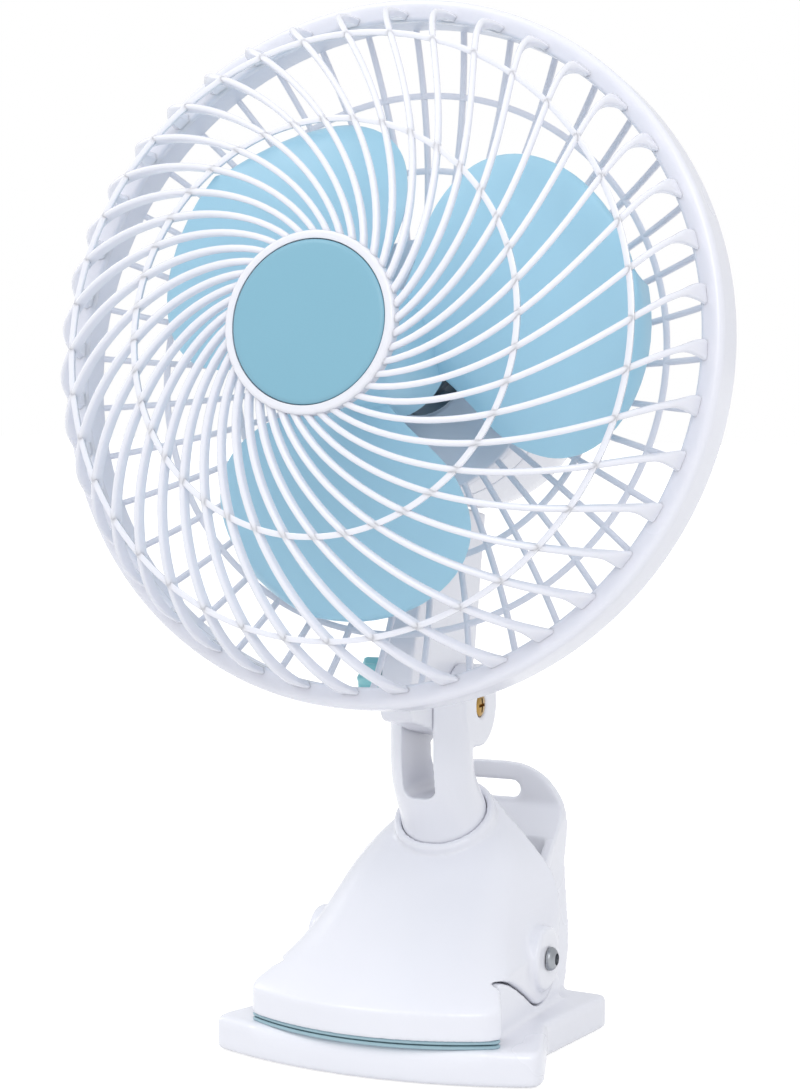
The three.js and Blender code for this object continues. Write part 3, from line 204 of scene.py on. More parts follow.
def moulded(piece, voxel, passes):
    """Gives a piece the soft edges and inside corners of a moulding."""
    grid = piece.modifiers.new("grid", "REMESH")
    grid.mode = "VOXEL"
    grid.voxel_size = voxel
    relax = piece.modifiers.new("relax", "SMOOTH")
    relax.factor = 0.5
    relax.iterations = passes
    return settle(piece)


def set_down(piece, finish, name=None, place=None, crease=None):
    """Puts a piece made in millimetres into metres in the frame, shaded smooth up to a crease angle."""
    piece.data.transform((place or Matrix.Identity(4)) @ Matrix.Scale(MM, 4))
    piece.data.shade_smooth()
    if crease is not None:
        piece.data.set_sharp_from_angle(angle=radians(crease))
    piece.data.materials.append(finish)
    piece.name = name or piece.name
    return piece


def arc_radius(half, depth):
    """The radius of an arc that is this wide to each side of its middle, and this deep."""
    return (half ** 2 + depth ** 2) / (2 * depth)


def bulging(half, edge_y, depth, steps, corner=0):
    """An arc across the front from -half to half, whose middle comes forward to edge_y."""
    r = arc_radius(half, depth)
    span = degrees(asin((half - corner) / r))
    return arc(0, edge_y + r, r, -90 - span, -90 + span, steps)


def plate_outline(inset):
    half, front = base_high.x - inset, base_low.y
    rear_half, waist = PLATE["rear_half"] - inset, PLATE["waist_half"] - inset
    rear_r, rear_corner = arc_radius(rear_half, PLATE["rear_bulge"]), 5
    span = degrees(asin((rear_half - rear_corner) / rear_r))
    rear = arc(0, PLATE["rear_y"] + PLATE["rear_bulge"] - rear_r - inset, rear_r, 90 - span, 90 + span, 24)
    corner_y = front + PLATE["front_bulge"] + inset
    side_y = front + PLATE["front_bulge"] + PLATE["cheek"]
    right = [(half, corner_y, 4), (half, side_y + 1, 3), (waist, PLATE["waist_y"], 1.5),
             (rear_half, PLATE["rear_y"] - inset, rear_corner)]
    across = bulging(half, front + inset, PLATE["front_bulge"], 40, corner=4)
    return rounded(across + right + rear + mirrored(right))


def plate():
    edge, turns = PLATE["edge"], quarter(4)
    foot = [(edge * (1 - sin(a)) * 0.6, edge * (1 - cos(a)) * 0.6) for a in turns]
    top = [(edge * (1 - cos(a)), BASE_THICK - edge * (1 - sin(a))) for a in turns]
    return skinned("clip_base", [[(x, y, z) for x, y in plate_outline(inset)] for inset, z in foot + top])


def cove():
    """The scoop along the front edge, under the lip of the jaw."""
    rings = []
    steps, r = 24, arc_radius(base_high.x, PLATE["front_bulge"])
    for k in range(steps + 1):
        t = 2 * k / steps - 1
        x = COVE["half"] * sin(t * pi / 2)
        y = base_low.y + r - sqrt(r ** 2 - x ** 2)
        fade = max(1 - t ** 4, 0.05) ** 0.5
        deep, bottom = COVE["deep"] * fade, BASE_THICK - COVE["low"] * fade
        hollow = [(x, y + deep * (1 - cos(a)), bottom + (BASE_THICK - bottom) * sin(a))
                  for a in quarter(6)]
        rings.append([(x, y - 3, BASE_THICK + 2), (x, y - 3, bottom)] + hollow
                     + [(x, y + deep, BASE_THICK + 2)])
    return skinned("cove", rings)


def grip_back(z):
    t = min(max((z - BASE_THICK) / (base_high.z - BASE_THICK), 0), 1)
    return PLATE["rear_y"] + 2 + (GRIP["lean"] - 2) * sin(t * pi / 2) ** 0.9


def jaw_rear_edge(z):
    return HINGE.y + LUG["lobe"] + (z - HINGE.z) * JAW_REAR_SLOPE


def turned_open(y, z):
    """Where a point of the shut jaw is when the clip is open."""
    dy, dz = y - HINGE.y, z - HINGE.z
    return (HINGE.y + dy * cos(OPEN_LEAN) + dz * sin(OPEN_LEAN),
            HINGE.z - dy * sin(OPEN_LEAN) + dz * cos(OPEN_LEAN))


def grip_form(inset):
    """The grip's side outline, drawn across, meets its front outline, drawn back. Its hollow (inset > 0) comes
    forward by the pad above the hinge, where the grip's inner face is nearly flush."""
    low, top = BASE_THICK - 1, base_high.z - inset
    slot_z = base_high.z - GRIP["slot_below_top"]
    behind_lobe = HINGE.y + LUG["lobe"] + RUN
    ahead = [turned_open(jaw_rear_edge(HINGE.z + up), HINGE.z + up) for up in (5, 13, 21, 30)]
    side = [(behind_lobe, low), (behind_lobe, HINGE.z - 3)] + [(y + RUN, z) for y, z in ahead]
    side += [(grip_back(slot_z) - GRIP["wall"], slot_z - 4),
             (grip_back(base_high.z) - GRIP["wall"], base_high.z + 1)]
    levels = [low + (base_high.z + 1 - low) * (1 - k / 30) for k in range(31)]
    side += [(grip_back(z), z) for z in levels]
    half, foot, r = GRIP["half"] - inset, GRIP["foot_half"] - inset, GRIP["corner"] - inset
    flank = rounded([(foot, low), (foot - 1, HINGE.z - 3, 6), (half + 2, HINGE.z + 9, 6), (half, HINGE.z + 19)])
    right = flank + arc(half - r, top - r, r, 0, 90, 24)
    if inset > 0:
        side = [(y - GRIP["pad"] * min(max((z - HINGE.z) / 20, 0), 1), z) for y, z in side]
    across = drawn("grip", [(y - inset, z) for y, z in side], -FAR, FAR, "X")
    return combined(across, "INTERSECT", drawn("grip_front", right + mirrored(right), -FAR, 90, "Y"))


def skirt_edge(gap, last):
    """The line just under the jaw's curved edge, up to an angle round the lobe under the hinge."""
    points = [(y, HINGE.z - gap + up) for y, up in SKIRT_CURVE]
    return points + arc(HINGE.y, HINGE.z, LUG["lobe"] + gap, -118, last, 30)


def bar_across(r, x0, x1, at, sides=64):
    """A round bar along X, through a point."""
    return drawn("bar", arc(at.y, at.z, r, 0, 360 * (1 - 1 / sides), sides - 1), x0, x1, "X")


def clip_base():
    base = combined(plate(), "DIFFERENCE", cove())
    in_plate = block((-FAR, FAR), (-FAR, 90), (0, BASE_THICK))
    grip = combined(grip_form(0), "DIFFERENCE", combined(grip_form(GRIP["wall"]), "DIFFERENCE", in_plate))
    r, z = GRIP["slot_high"] / 2, base_high.z - GRIP["slot_below_top"]
    slot = arc(GRIP["slot_half"] - r, z, r, -90, 90, 16) + arc(r - GRIP["slot_half"], z, r, 90, 270, 16)
    grip = combined(grip, "DIFFERENCE", drawn("slot", slot, 40, 90, "Y"))
    low, front = BASE_THICK - 1, SIDE_Y + 2 * RUN
    behind = HINGE.y + LUG["lobe"] + 3
    under = [(front, low)] + [(max(y, front), z) for y, z in skirt_edge(RUN, -degrees(OPEN_LEAN) - 6)]
    under += [(behind, BASE_THICK + 6), (behind, low)]
    skirts = [drawn("skirt", under, x, x + SKIRT_THICK, "X") for x in (SKIRT_X - SKIRT_THICK, -SKIRT_X)]
    side = [(HINGE.y - LUG["r"] - 3, low)] + arc(HINGE.y, HINGE.z, LUG["r"], 180, 0, 30)
    side += [(HINGE.y + LUG["r"] + 5, low)]
    lugs = [drawn("lug", side, x, x + LUG["thick"], "X") for x in (LUG["x"], -LUG["x"] - LUG["thick"])]
    base = combined(base, "UNION", grip, *skirts, *lugs)
    pockets = []
    for n in range(1, 5):
        low_corner, high_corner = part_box(f"foot_pad_{n}")
        mid = (low_corner + high_corner) / 2 / MM
        r = (high_corner.x - low_corner.x) / 2 / MM + 0.3
        pockets.append(drawn("pocket", arc(mid.x, mid.y, r, 0, 352.5, 47), -1, high_corner.z / MM + 0.3))
    return combined(base, "DIFFERENCE", bar_across(LUG["bore"], -80, 80, HINGE), *pockets)


def linear(code):
    """An sRGB hex colour as the linear values that a shader takes."""
    parts = [int(code[k:k + 2], 16) / 255 for k in (0, 2, 4)]
    return [p / 12.92 if p <= 0.04045 else ((p + 0.055) / 1.055) ** 2.4 for p in parts] + [1]


def add_node(tree, kind, inputs=(), **settings):
    """Adds a node with its settings. Each input is given a value, or a socket to link it to."""
    node = tree.nodes.new(kind)
    for name, value in settings.items():
        setattr(node, name, value)
    for key, value in dict(inputs).items():
        if isinstance(value, bpy.types.NodeSocket):
            tree.links.new(value, node.inputs[key])
        else:
            node.inputs[key].default_value = value
    return node


def blank_finish(name):
    """A new material with an empty tree."""
    material = bpy.data.materials.new(name)
    material.use_nodes = True
    tree = material.node_tree
    tree.nodes.clear()
    return material, tree


def own_place(tree):
    """The object's own coordinates, which every pattern lies in."""
    return add_node(tree, "ShaderNodeTexCoord").outputs["Object"]


def noise(tree, place, scale, detail, roughness=0.5):
    return add_node(tree, "ShaderNodeTexNoise", {"Vector": place, "Scale": scale, "Detail": detail,
                                                 "Roughness": roughness}).outputs["Fac"]


def mottled(tree, factor, colour, dark, light=1.0):
    """A colour that wanders between two multiples of itself."""
    base = linear(colour)[:3]
    return add_node(tree, "ShaderNodeMix", {"Factor": factor, "A": [c * dark for c in base] + [1],
                                            "B": [min(c * light, 1) for c in base] + [1]},
                    data_type="RGBA").outputs["Result"]


def uneven(tree, factor, low, high):
    """A roughness that wanders between two values with a noise."""
    return add_node(tree, "ShaderNodeMapRange", {"Value": factor, "From Min": 0.3, "From Max": 0.7,
                                                 "To Min": low, "To Max": high}).outputs["Result"]


def bump(tree, ridges_and_groove_shade, strength, distance, **under):
    return add_node(tree, "ShaderNodeBump", {"Height": ridges_and_groove_shade, "Strength": strength, "Distance": distance,
                                             **under}).outputs["Normal"]


def surface(tree, inputs):
    shader = add_node(tree, "ShaderNodeBsdfPrincipled", inputs)
    add_node(tree, "ShaderNodeOutputMaterial", {"Surface": shader.outputs["BSDF"]})


def moulded_plastic(name, colour, roughness, grain_mm, relief, ior=1.53, subsurface=0.0):
    """Injection-moulded plastic. The tool's fine spark-eroded grain breaks up the gloss, slow flow of the melt
    leaves the colour and the gloss a little uneven, and the walls sink slightly over a few centimetres."""
    material, tree = blank_finish(name)
    place = own_place(tree)
    grain = noise(tree, place, 1 / (grain_mm * MM), 2.0, 0.6)
    flow = noise(tree, place, 28.0, 2.0)
    walls = bump(tree, noise(tree, place, 45.0, 1.0), 0.06, 0.001)
    surface(tree, {"Base Color": mottled(tree, flow, colour, 0.975, 1.015),
                   "Roughness": uneven(tree, flow, roughness - 0.03, roughness + 0.04), "IOR": ior,
                   "Subsurface Weight": subsurface, "Subsurface Radius": (1, 1, 1), "Subsurface Scale": 0.0015,
                   "Normal": bump(tree, grain, relief, grain_mm * MM, Normal=walls)})
    return material


white_abs = moulded_plastic("moulded_white_abs", "ebecf3", roughness=0.24, grain_mm=0.35, relief=0.05)

base_piece = set_down(moulded(clip_base(), voxel=0.65, passes=6), white_abs, "clip_base_moulding")
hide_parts("clip_base")
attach(base_piece, "clip_base")

# ---------------------------------------------------------------- rubber feet
# Four round pads of dark rubber, pressed into pockets under the plate. They are punched from sheet, so
# the face is flat and the edge is only broken.


def rubber(name, colour, roughness, grain_mm):
    """Pressed rubber sheet: matt, with a fine leathery grain and dust-pale high spots."""
    material, tree = blank_finish(name)
    place = own_place(tree)
    grain = add_node(tree, "ShaderNodeTexVoronoi", {"Vector": place, "Scale": 1 / (grain_mm * MM)})
    dust = noise(tree, place, 180.0, 4.0)
    surface(tree, {"Base Color": mottled(tree, dust, colour, 0.93, 1.08), "Roughness": roughness, "IOR": 1.5,
                   "Normal": bump(tree, grain.outputs["Distance"], 0.25, 0.0001)})
    return material


foot_rubber = rubber("pressed_dark_rubber", "2b2c2f", roughness=0.75, grain_mm=0.5)

for n in range(1, 5):
    low_corner, high_corner = box_mm(f"foot_pad_{n}")
    middle = (low_corner + high_corner) / 2
    r, top = (high_corner.x - low_corner.x) / 2, high_corner.z
    profile = [(0, 0), (r - 0.5, 0), (r - 0.15, 0.1), (r, 0.4), (r, top - 0.1), (r - 0.1, top), (0, top)]
    pad = turned(f"rubber_foot_{n}", profile, 64)
    pad.data.transform(Matrix.Translation((middle.x, middle.y, 0)) @ Matrix.Rotation(-pi / 2, 4, "X"))
    set_down(pad, foot_rubber, crease=35)
    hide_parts(f"foot_pad_{n}")
    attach(pad, "clip_base")

# ---------------------------------------------------------------- jaw pads
# Two thin strips of pale teal rubber with the lip's outline, one on the plate and one glued under the lip.
# They show as the double line across the front of the clip.

PAD = {"bulge": 10.5, "corner": 3, "edge": 0.25}
pale_rubber = rubber("pressed_pale_teal_rubber", "9fbcc6", roughness=0.55, grain_mm=0.4)

for node, body in (("lower_jaw_pad", "clip_base"), ("upper_jaw_pad", "upper_jaw")):
    low_corner, high_corner = box_mm(node)
    rings = []
    for inset, z in ((PAD["edge"], low_corner.z), (0, low_corner.z + PAD["edge"]),
                     (0, high_corner.z - PAD["edge"]), (PAD["edge"], high_corner.z)):
        half = high_corner.x - inset
        front = bulging(half, low_corner.y + inset, PAD["bulge"], 48, corner=PAD["corner"])
        right = [(half, low_corner.y + PAD["bulge"] + inset, PAD["corner"]), (half, high_corner.y - inset, 1)]
        rings.append([(x, y, z) for x, y in rounded(front + right + mirrored(right))])
    pad = set_down(skinned(node.replace("pad", "strip"), rings), pale_rubber, crease=30)
    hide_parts(node)
    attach(pad, body)

# ---------------------------------------------------------------- hinge pin
# A steel pin through both lugs and both sides of the jaw. Its ends are upset to domed heads round a shallow
# bore, and zinc-plated, which leaves them bright and a little mottled.

PIN = {"r": 2, "head_r": 3.4, "head_high": 2.5, "bore": 1.7, "bore_long": 2.2}


def metal(name, colour, roughness, grain_mm, streak=(1, 1, 1), relief=0.15):
    """Bare or plated metal. Handling and the plating bath leave the gloss uneven, and drawn or rolled stock
    keeps faint streaks along its length; streak stretches the pattern that way."""
    material, tree = blank_finish(name)
    place = own_place(tree)
    stretched = add_node(tree, "ShaderNodeMapping", {"Vector": place, "Scale": streak}).outputs["Vector"]
    grain = noise(tree, stretched, 1 / (grain_mm * MM), 3.0)
    bath = noise(tree, place, 350.0, 2.0)
    surface(tree, {"Base Color": mottled(tree, bath, colour, 0.8), "Metallic": 1.0,
                   "Roughness": uneven(tree, bath, roughness - 0.06, roughness + 0.08),
                   "Normal": bump(tree, grain, relief, 0.0001)})
    return material


zinc_steel = metal("zinc_plated_steel", "a9adb2", roughness=0.34, grain_mm=0.3)

pin_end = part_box("hinge_pin")[1].x / MM
neck_x = pin_end - PIN["head_high"]
dome = [(PIN["head_r"] * cos(a), neck_x + 0.3 + (PIN["head_high"] - 0.3) * sin(a)) for a in quarter(8)]
cup_end = pin_end - PIN["bore_long"]
cup = [(PIN["bore"], pin_end - 0.3), (PIN["bore"] - 0.2, cup_end), (0, cup_end)]
half_profile = [(PIN["r"], neck_x), (PIN["head_r"], neck_x)] + [at for at in dome if at[0] > PIN["bore"]] + cup
pin = turned("hinge_pin_turned", [(r, -d) for r, d in reversed(half_profile)] + half_profile, 64)
pin.data.transform(Matrix.Translation((0, HINGE.y, HINGE.z)) @ Matrix.Rotation(pi / 2, 4, "Z"))
set_down(pin, zinc_steel, crease=40)
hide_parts("hinge_pin")
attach(pin, "clip_base")

# ---------------------------------------------------------------- torsion spring
# Round music wire wound five times round the pin. One leg bears on the inside of the grip and the other
# on the lip of the jaw, so it shuts the clip.

SPRING = {"wire": 0.8, "gap": 0.6, "turns": 5, "loose": 0.6, "on_grip": 6, "touch": 0.3}


def spring_path():
    wire, turns = SPRING["wire"], SPRING["turns"]
    coil_r = PIN["r"] + wire + SPRING["loose"]
    off = wire + SPRING["touch"]
    lip_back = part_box("upper_jaw_pad")[1].y / MM + 0.7
    rear_z = HINGE.z - SPRING["on_grip"]
    rear_end = (grip_back(rear_z) - GRIP["wall"] - off - 0.2, rear_z)
    front_end = (lip_back - WALL / 2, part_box("upper_jaw_pad")[1].z / MM + 7.6 + off)

    def tangent(end, side):
        dy, dz = end[0] - HINGE.y, end[1] - HINGE.z
        return atan2(dz, dy) + side * acos(coil_r / hypot(dy, dz))

    first = tangent(rear_end, 1)
    last = tangent(front_end, -1) % (2 * pi) + 2 * pi * turns
    width, steps = turns * (2 * wire + SPRING["gap"]), turns * 32
    coil = []
    for k in range(steps + 1):
        a = first + (last - first) * k / steps
        coil.append(Vector((width * (k / steps - 0.5), HINGE.y + coil_r * cos(a),
                            HINGE.z + coil_r * sin(a))))

    def leg(end, start):
        tip = Vector((start.x, *end))
        return [start.lerp(tip, t) for t in (0.04, 0.1, 0.25, 0.5, 0.75, 1)]

    return leg(rear_end, coil[0])[::-1] + coil + leg(front_end, coil[-1])


def tube(name, path, r, sides=12):
    """A round tube along a path, whose section turns with the path and never flips."""
    across = Vector((1, 0, 0))
    rings = []
    for k, point in enumerate(path):
        along = (path[min(k + 1, len(path) - 1)] - path[max(k - 1, 0)]).normalized()
        across = (across - along * across.dot(along)).normalized()
        over = along.cross(across)
        rings.append([point + (across * cos(a) + over * sin(a)) * r for a in whole_turn(sides)])
    return skinned(name, rings)


spring_steel = metal("drawn_spring_steel", "8d9094", roughness=0.3, grain_mm=0.15)
spring = set_down(tube("spring_wire", spring_path(), SPRING["wire"] * 0.97), spring_steel, crease=50)
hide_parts("torsion_spring")
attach(spring, "clip_base")

# ---------------------------------------------------------------- upper jaw
# A bell-shaped shell of the same glossy ABS. Its flat lip grips the table edge, its sides are cut away in
# an S over the skirts, round bosses take the hinge pin, and a collar on the slope takes the neck.

LIP = {"high": 7.6, "floor": 2.2, "rear": -25.5, "cheek": (38.4, -28.5)}
LIP_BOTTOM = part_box("upper_jaw_pad")[1].z / MM
# height above the lip's top, front edge, ridge where front and flank meet (x, y), its reach, rear half width
JAW_LEVELS = [(0, -40, 38.2, -29.5, 5, 38), (1.7, -37.4, 38, -27, 5.5, 37.6),
              (4.7, -32, 35.6, -21.5, 7, 36.4), (8.7, -25, 32.3, -16, 8, 35.2),
              (12.7, -18.8, 29.5, -11.5, 8.5, 34.8), (16.7, -12.6, 27.2, -7.6, 9, 34.4),
              (21.7, -5.4, 25, -2, 9, 33.6), (26.7, 1.8, 23.2, 4, 9, 31.5), (31.7, 9, 21.2, 10.5, 9, 27.5),
              (36.7, 15.8, 18.8, 17, 8, 22.5), (41.2, 22.5, 15.6, 23.5, 7, 17.5),
              (45.2, 28.2, 12.3, 29, 5, 13.5), (48.3, 32.2, 9.5, 33, 4, 10)]
SIDE_X = 34.5
BOSS = {"r": 9.2, "out": 1.8}
COLLAR = {"r": 15.2, "high": 2.6, "deep": 4}
NECK = {"foot_r": 12.7, "r": 12, "axis_y": 13, "ear_r": 12, "slot_half": 4.9, "slot_deep": 25.3, "slot_r": 3,
        "spigot_r": 6.6, "screw_hole_r": 1.7, "above_pivot": 5.7}
SWIVEL = Vector(joints["neck_swivel"]["pos_m"]) / MM
swivel_axis = Vector(joints["neck_swivel"]["axis"])
NECK_LEAN = atan2(-swivel_axis.y, swivel_axis.z)


def through(rows, steps):
    """Rows on a smooth curve through the given ones. The first column is the one that runs."""
    def slope(k, column):
        a, b = rows[max(k - 1, 0)], rows[min(k + 1, len(rows) - 1)]
        return (b[column] - a[column]) / (b[0] - a[0])

    out = []
    for k in range(len(rows) - 1):
        run = rows[k + 1][0] - rows[k][0]
        for s in range(steps + (k == len(rows) - 2)):
            t = s / steps
            row = [rows[k][0] + run * t]
            for column in range(1, len(rows[0])):
                row.append((2 * t ** 3 - 3 * t ** 2 + 1) * rows[k][column]
                           + (t ** 3 - 2 * t ** 2 + t) * run * slope(k, column)
                           + (3 * t ** 2 - 2 * t ** 3) * rows[k + 1][column]
                           + (t ** 3 - t ** 2) * run * slope(k + 1, column))
            out.append(row)
    return out


def jaw_ring(level, inset):
    """A slice of the jaw: a front that bulges between two soft ridges, and flanks that spread to the rear. The
    hollow (inset > 0) steps back further where the front slopes, and runs out through the open rear."""
    up, front, ridge_x, ridge_y, reach, rear_x = level
    z = LIP_BOTTOM + LIP["high"] + up
    back = inset * (1 + 0.8 * min(max(up / 12, 0), 1))
    front, ridge_y, ridge_x, rear_x = front + back, ridge_y + back, ridge_x - inset, rear_x - inset
    rear = jaw_rear_edge(max(z, HINGE.z)) + (12 if inset > 0 else 0)
    corner, rear_corner = Vector((ridge_x, ridge_y)), Vector((rear_x, rear))
    start = corner + (rear_corner - corner).normalized() * reach
    front_x = ridge_x - reach

    def face(x):
        return Vector((x, front + (ridge_y - front) * (x / ridge_x) ** 2))

    side = [start * (1 - t) ** 2 + corner * 2 * t * (1 - t) + face(front_x) * t ** 2
            for t in (k / 10 for k in range(10))]
    half = [rear_corner] + side
    middle = [face(front_x * (1 - k / 14)) for k in range(29)]
    ring = half + middle + [Vector((-v.x, v.y)) for v in reversed(half)]
    return [(v.x, v.y, z) for v in ring]


def on_swivel(piece):
    """Moves a piece turned about Y onto the swivel's axis, with its front upwards."""
    piece.data.transform(Matrix.Translation(SWIVEL) @ Matrix.Rotation(NECK_LEAN, 4, "X")
                         @ Matrix.Rotation(-pi / 2, 4, "X"))
    return piece


def swivel_bar(r, low, high):
    """A round bar on the swivel's axis."""
    return on_swivel(turned("bar", [(0, low), (r, low), (r, high), (0, high)], 72))


def beside_jaw(inset):
    """What the jaw's sides stay out of behind the lip, up to the height of its slope."""
    x, y = SIDE_X - inset, SIDE_Y - inset / 2
    cheek_x, cheek_y = LIP["cheek"][0] - inset, LIP["cheek"][1] - inset / 2
    plan = [(x, 90), (x, y), (cheek_x, cheek_y), (80, cheek_y), (80, 90)]
    return [drawn("beside", [(side * px, py) for px, py in plan], 0, 60) for side in (1, -1)]


def jaw_form(name, inset, below, levels, steps):
    """The bell through these levels, drawn down straight from the lip's top."""
    rows = [(-LIP["high"] - below, *levels[0][1:])] + through(levels, steps)
    return skinned(name, [jaw_ring(row, inset) for row in rows])


def upper_jaw():
    hollow = combined(jaw_form("inside", WALL, 3, JAW_LEVELS[:-2], 4), "DIFFERENCE", *beside_jaw(WALL))
    shell = combined(jaw_form("jaw", 0, 0, JAW_LEVELS, 6), "DIFFERENCE", hollow)
    rear, bottom = LIP["rear"], LIP_BOTTOM
    lip_floor = block((-FAR, FAR), (-FAR, rear), (bottom - 1, bottom + LIP["floor"]))
    lip_back = block((-FAR, FAR), (rear - WALL, rear), (bottom - 1, bottom + LIP["high"]))
    lip = combined(jaw_form("lip", 0, 0, JAW_LEVELS, 6), "INTERSECT", combined(lip_floor, "UNION", lip_back))
    low = skirt_edge(0, -5) + [(HINGE.y + LUG["lobe"] + 8, HINGE.z), (HINGE.y + FAR, HINGE.z),
                               (HINGE.y + FAR, 0), (SIDE_Y, 0)]
    shell = combined(shell, "UNION", lip)
    shell = combined(shell, "DIFFERENCE", drawn("below", low, -80, 80, "X"), *beside_jaw(0))
    high, r, deep = COLLAR["high"], COLLAR["r"], COLLAR["deep"]
    collar = on_swivel(turned("collar", [(0, -deep), (r, -deep), (r, high - 0.8), (r - 0.25, high - 0.25),
                                         (r - 0.8, high), (0, high)], 72))
    lug_out, boss_out = LUG["x"] + LUG["thick"] + RUN, SIDE_X + BOSS["out"]
    parts = [collar]
    for side in (1, -1):
        spans = [(SIDE_X - 4, boss_out), (lug_out, boss_out), (SIDE_X - WALL, SIDE_X)]
        for span, size in zip(spans, (BOSS["r"], LUG["r"] - 1, LUG["lobe"])):
            x0, x1 = sorted(side * x for x in span)
            parts.append(bar_across(size, x0, x1, HINGE))
        above_lobe = block((-FAR, FAR), (-20, FAR), (HINGE.z + 2, HINGE.z + 20))
        parts[-1] = combined(parts[-1], "DIFFERENCE", above_lobe)
    shell = combined(shell, "UNION", *parts)
    washer_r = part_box("swivel_washer")[1].x / MM + RUN
    return combined(shell, "DIFFERENCE", bar_across(LUG["bore"], -80, 80, HINGE),
                    swivel_bar(NECK["foot_r"] + 0.15, 0, 20),
                    swivel_bar(NECK["spigot_r"] + 0.3, -30, 5), swivel_bar(washer_r, -deep - 5, -deep))


jaw = set_down(moulded(upper_jaw(), voxel=0.6, passes=6), white_abs, "upper_jaw_moulding")
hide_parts("upper_jaw")
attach(jaw, "upper_jaw")

# ---------------------------------------------------------------- neck
# A bent ABS tube. A spigot holds it in the jaw's collar, where it swivels, and its upper end is a fork: a
# deep slot with a round ear on each side, which the stem of the head tilts between.

PIVOT = Vector(joints["head_tilt"]["pos_m"]) / MM
TILT_SCREW = {"r": 2.0, "bore": 2.15, "head_r": 3.3, "head_high": 1.8, "crown": 0.7, "nut_r": 3.9,
              "nut_high": 2.4}


def neck():
    def along(s):
        return SWIVEL.y - s * sin(NECK_LEAN), SWIVEL.z + s * cos(NECK_LEAN)

    r, foot_r, axis_y = NECK["r"], NECK["foot_r"], NECK["axis_y"]
    to_axis = (SWIVEL.y - axis_y) / sin(NECK_LEAN)
    bend_z = along(to_axis)[1]
    ends = [(0.3, *along(0.3), NECK_LEAN, foot_r - 0.5), (0.8, *along(0.8), NECK_LEAN, foot_r)]
    bend = [(2.5, *along(2.5), NECK_LEAN, foot_r), (6, *along(6), NECK_LEAN, r + 0.3),
            (to_axis - 5, *along(to_axis - 5), NECK_LEAN * 0.8, r),
            (to_axis, axis_y + 0.9, bend_z, NECK_LEAN * 0.45, r), (to_axis + 5, axis_y, bend_z + 5, 0, r),
            (to_axis + 10, axis_y, bend_z + 10, 0, r)]
    top = PIVOT.z + NECK["above_pivot"]
    rows = ends + through(bend, 8)
    rows += [(top, axis_y, top - down, 0, r - inset) for down, inset in ((1.5, 0), (0.5, 0.5), (0, 1.5))]
    rings = []
    for _, y, z, lean, size in rows:
        turn = Matrix.Translation((0, y, z)) @ Matrix.Rotation(lean, 4, "X")
        rings.append([turn @ Vector((size * cos(a), size * sin(a), 0)) for a in whole_turn(72)])
    body = skinned("neck", rings)
    spigot_r, spigot_long = NECK["spigot_r"], COLLAR["deep"] + 0.3
    body = combined(body, "UNION", swivel_bar(spigot_r, -spigot_long, 3),
                    bar_across(NECK["ear_r"], -r, r, PIVOT, 96))
    x, z, corner = NECK["slot_half"], PIVOT.z - NECK["slot_deep"], NECK["slot_r"]
    slot = [(x, z + 80), (-x, z + 80)] + arc(corner - x, z + corner, corner, 180, 270, 8)
    slot += arc(x - corner, z + corner, corner, 270, 360, 8)
    sunk, nut = TILT_SCREW["head_r"] + 0.3, TILT_SCREW["nut_r"] + 0.5
    return combined(body, "DIFFERENCE", drawn("slot", slot, -30, 60, "Y"),
                    bar_across(TILT_SCREW["bore"], -30, 30, PIVOT),
                    bar_across(sunk, r - TILT_SCREW["head_high"], r + 5, PIVOT),
                    bar_across(nut, -r - 5, TILT_SCREW["nut_high"] - r, PIVOT, 6),
                    swivel_bar(NECK["screw_hole_r"], -30, 1))


neck_piece = set_down(moulded(neck(), voxel=0.45, passes=5), white_abs, "neck_moulding")
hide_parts("neck")
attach(neck_piece, "neck")

# ---------------------------------------------------------------- tilt screw
# A brass-plated machine screw with a low round head and a cross recess, sunk in the right ear. It is what
# holds the head at its tilt, by pinching the fork.

screw_low, screw_high = box_mm("tilt_screw")
RECESS = {"long": 2.1, "wide": 0.9, "deep": 1.2}


def tilt_screw():
    head, r, head_r, crown = screw_high.x, TILT_SCREW["r"], TILT_SCREW["head_r"], TILT_SCREW["crown"]
    under = head - TILT_SCREW["head_high"] + 0.3
    dome = [(head_r * cos(a), head - crown + crown * sin(a)) for a in quarter(8)]
    profile = [(0, screw_low.x), (r - 0.4, screw_low.x), (r, screw_low.x + 0.4), (r, under), (head_r, under)]
    body = turned("screw", profile + dome[:-1] + [(0, head)], 64)
    body.data.transform(Matrix.Translation((0, PIVOT.y, PIVOT.z)) @ Matrix.Rotation(pi / 2, 4, "Z"))
    long, half = RECESS["long"], RECESS["wide"] / 2
    arms = [block((head - RECESS["deep"], head + 1), (PIVOT.y - y, PIVOT.y + y), (PIVOT.z - z, PIVOT.z + z))
            for y, z in ((long, half), (half, long))]
    return combined(body, "DIFFERENCE", *arms)


brass = metal("brass_plated_steel", "b08d4f", roughness=0.3, grain_mm=0.2)
screw = set_down(tilt_screw(), brass, "tilt_screw_turned", crease=35)
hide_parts("tilt_screw")
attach(screw, "neck")

# ---------------------------------------------------------------- motor housing
# The front half of the motor's case and the stem that tilts in the fork are one white ABS moulding. Slots
# in its front let the fan draw air over the winding, and screw posts stand inside it.

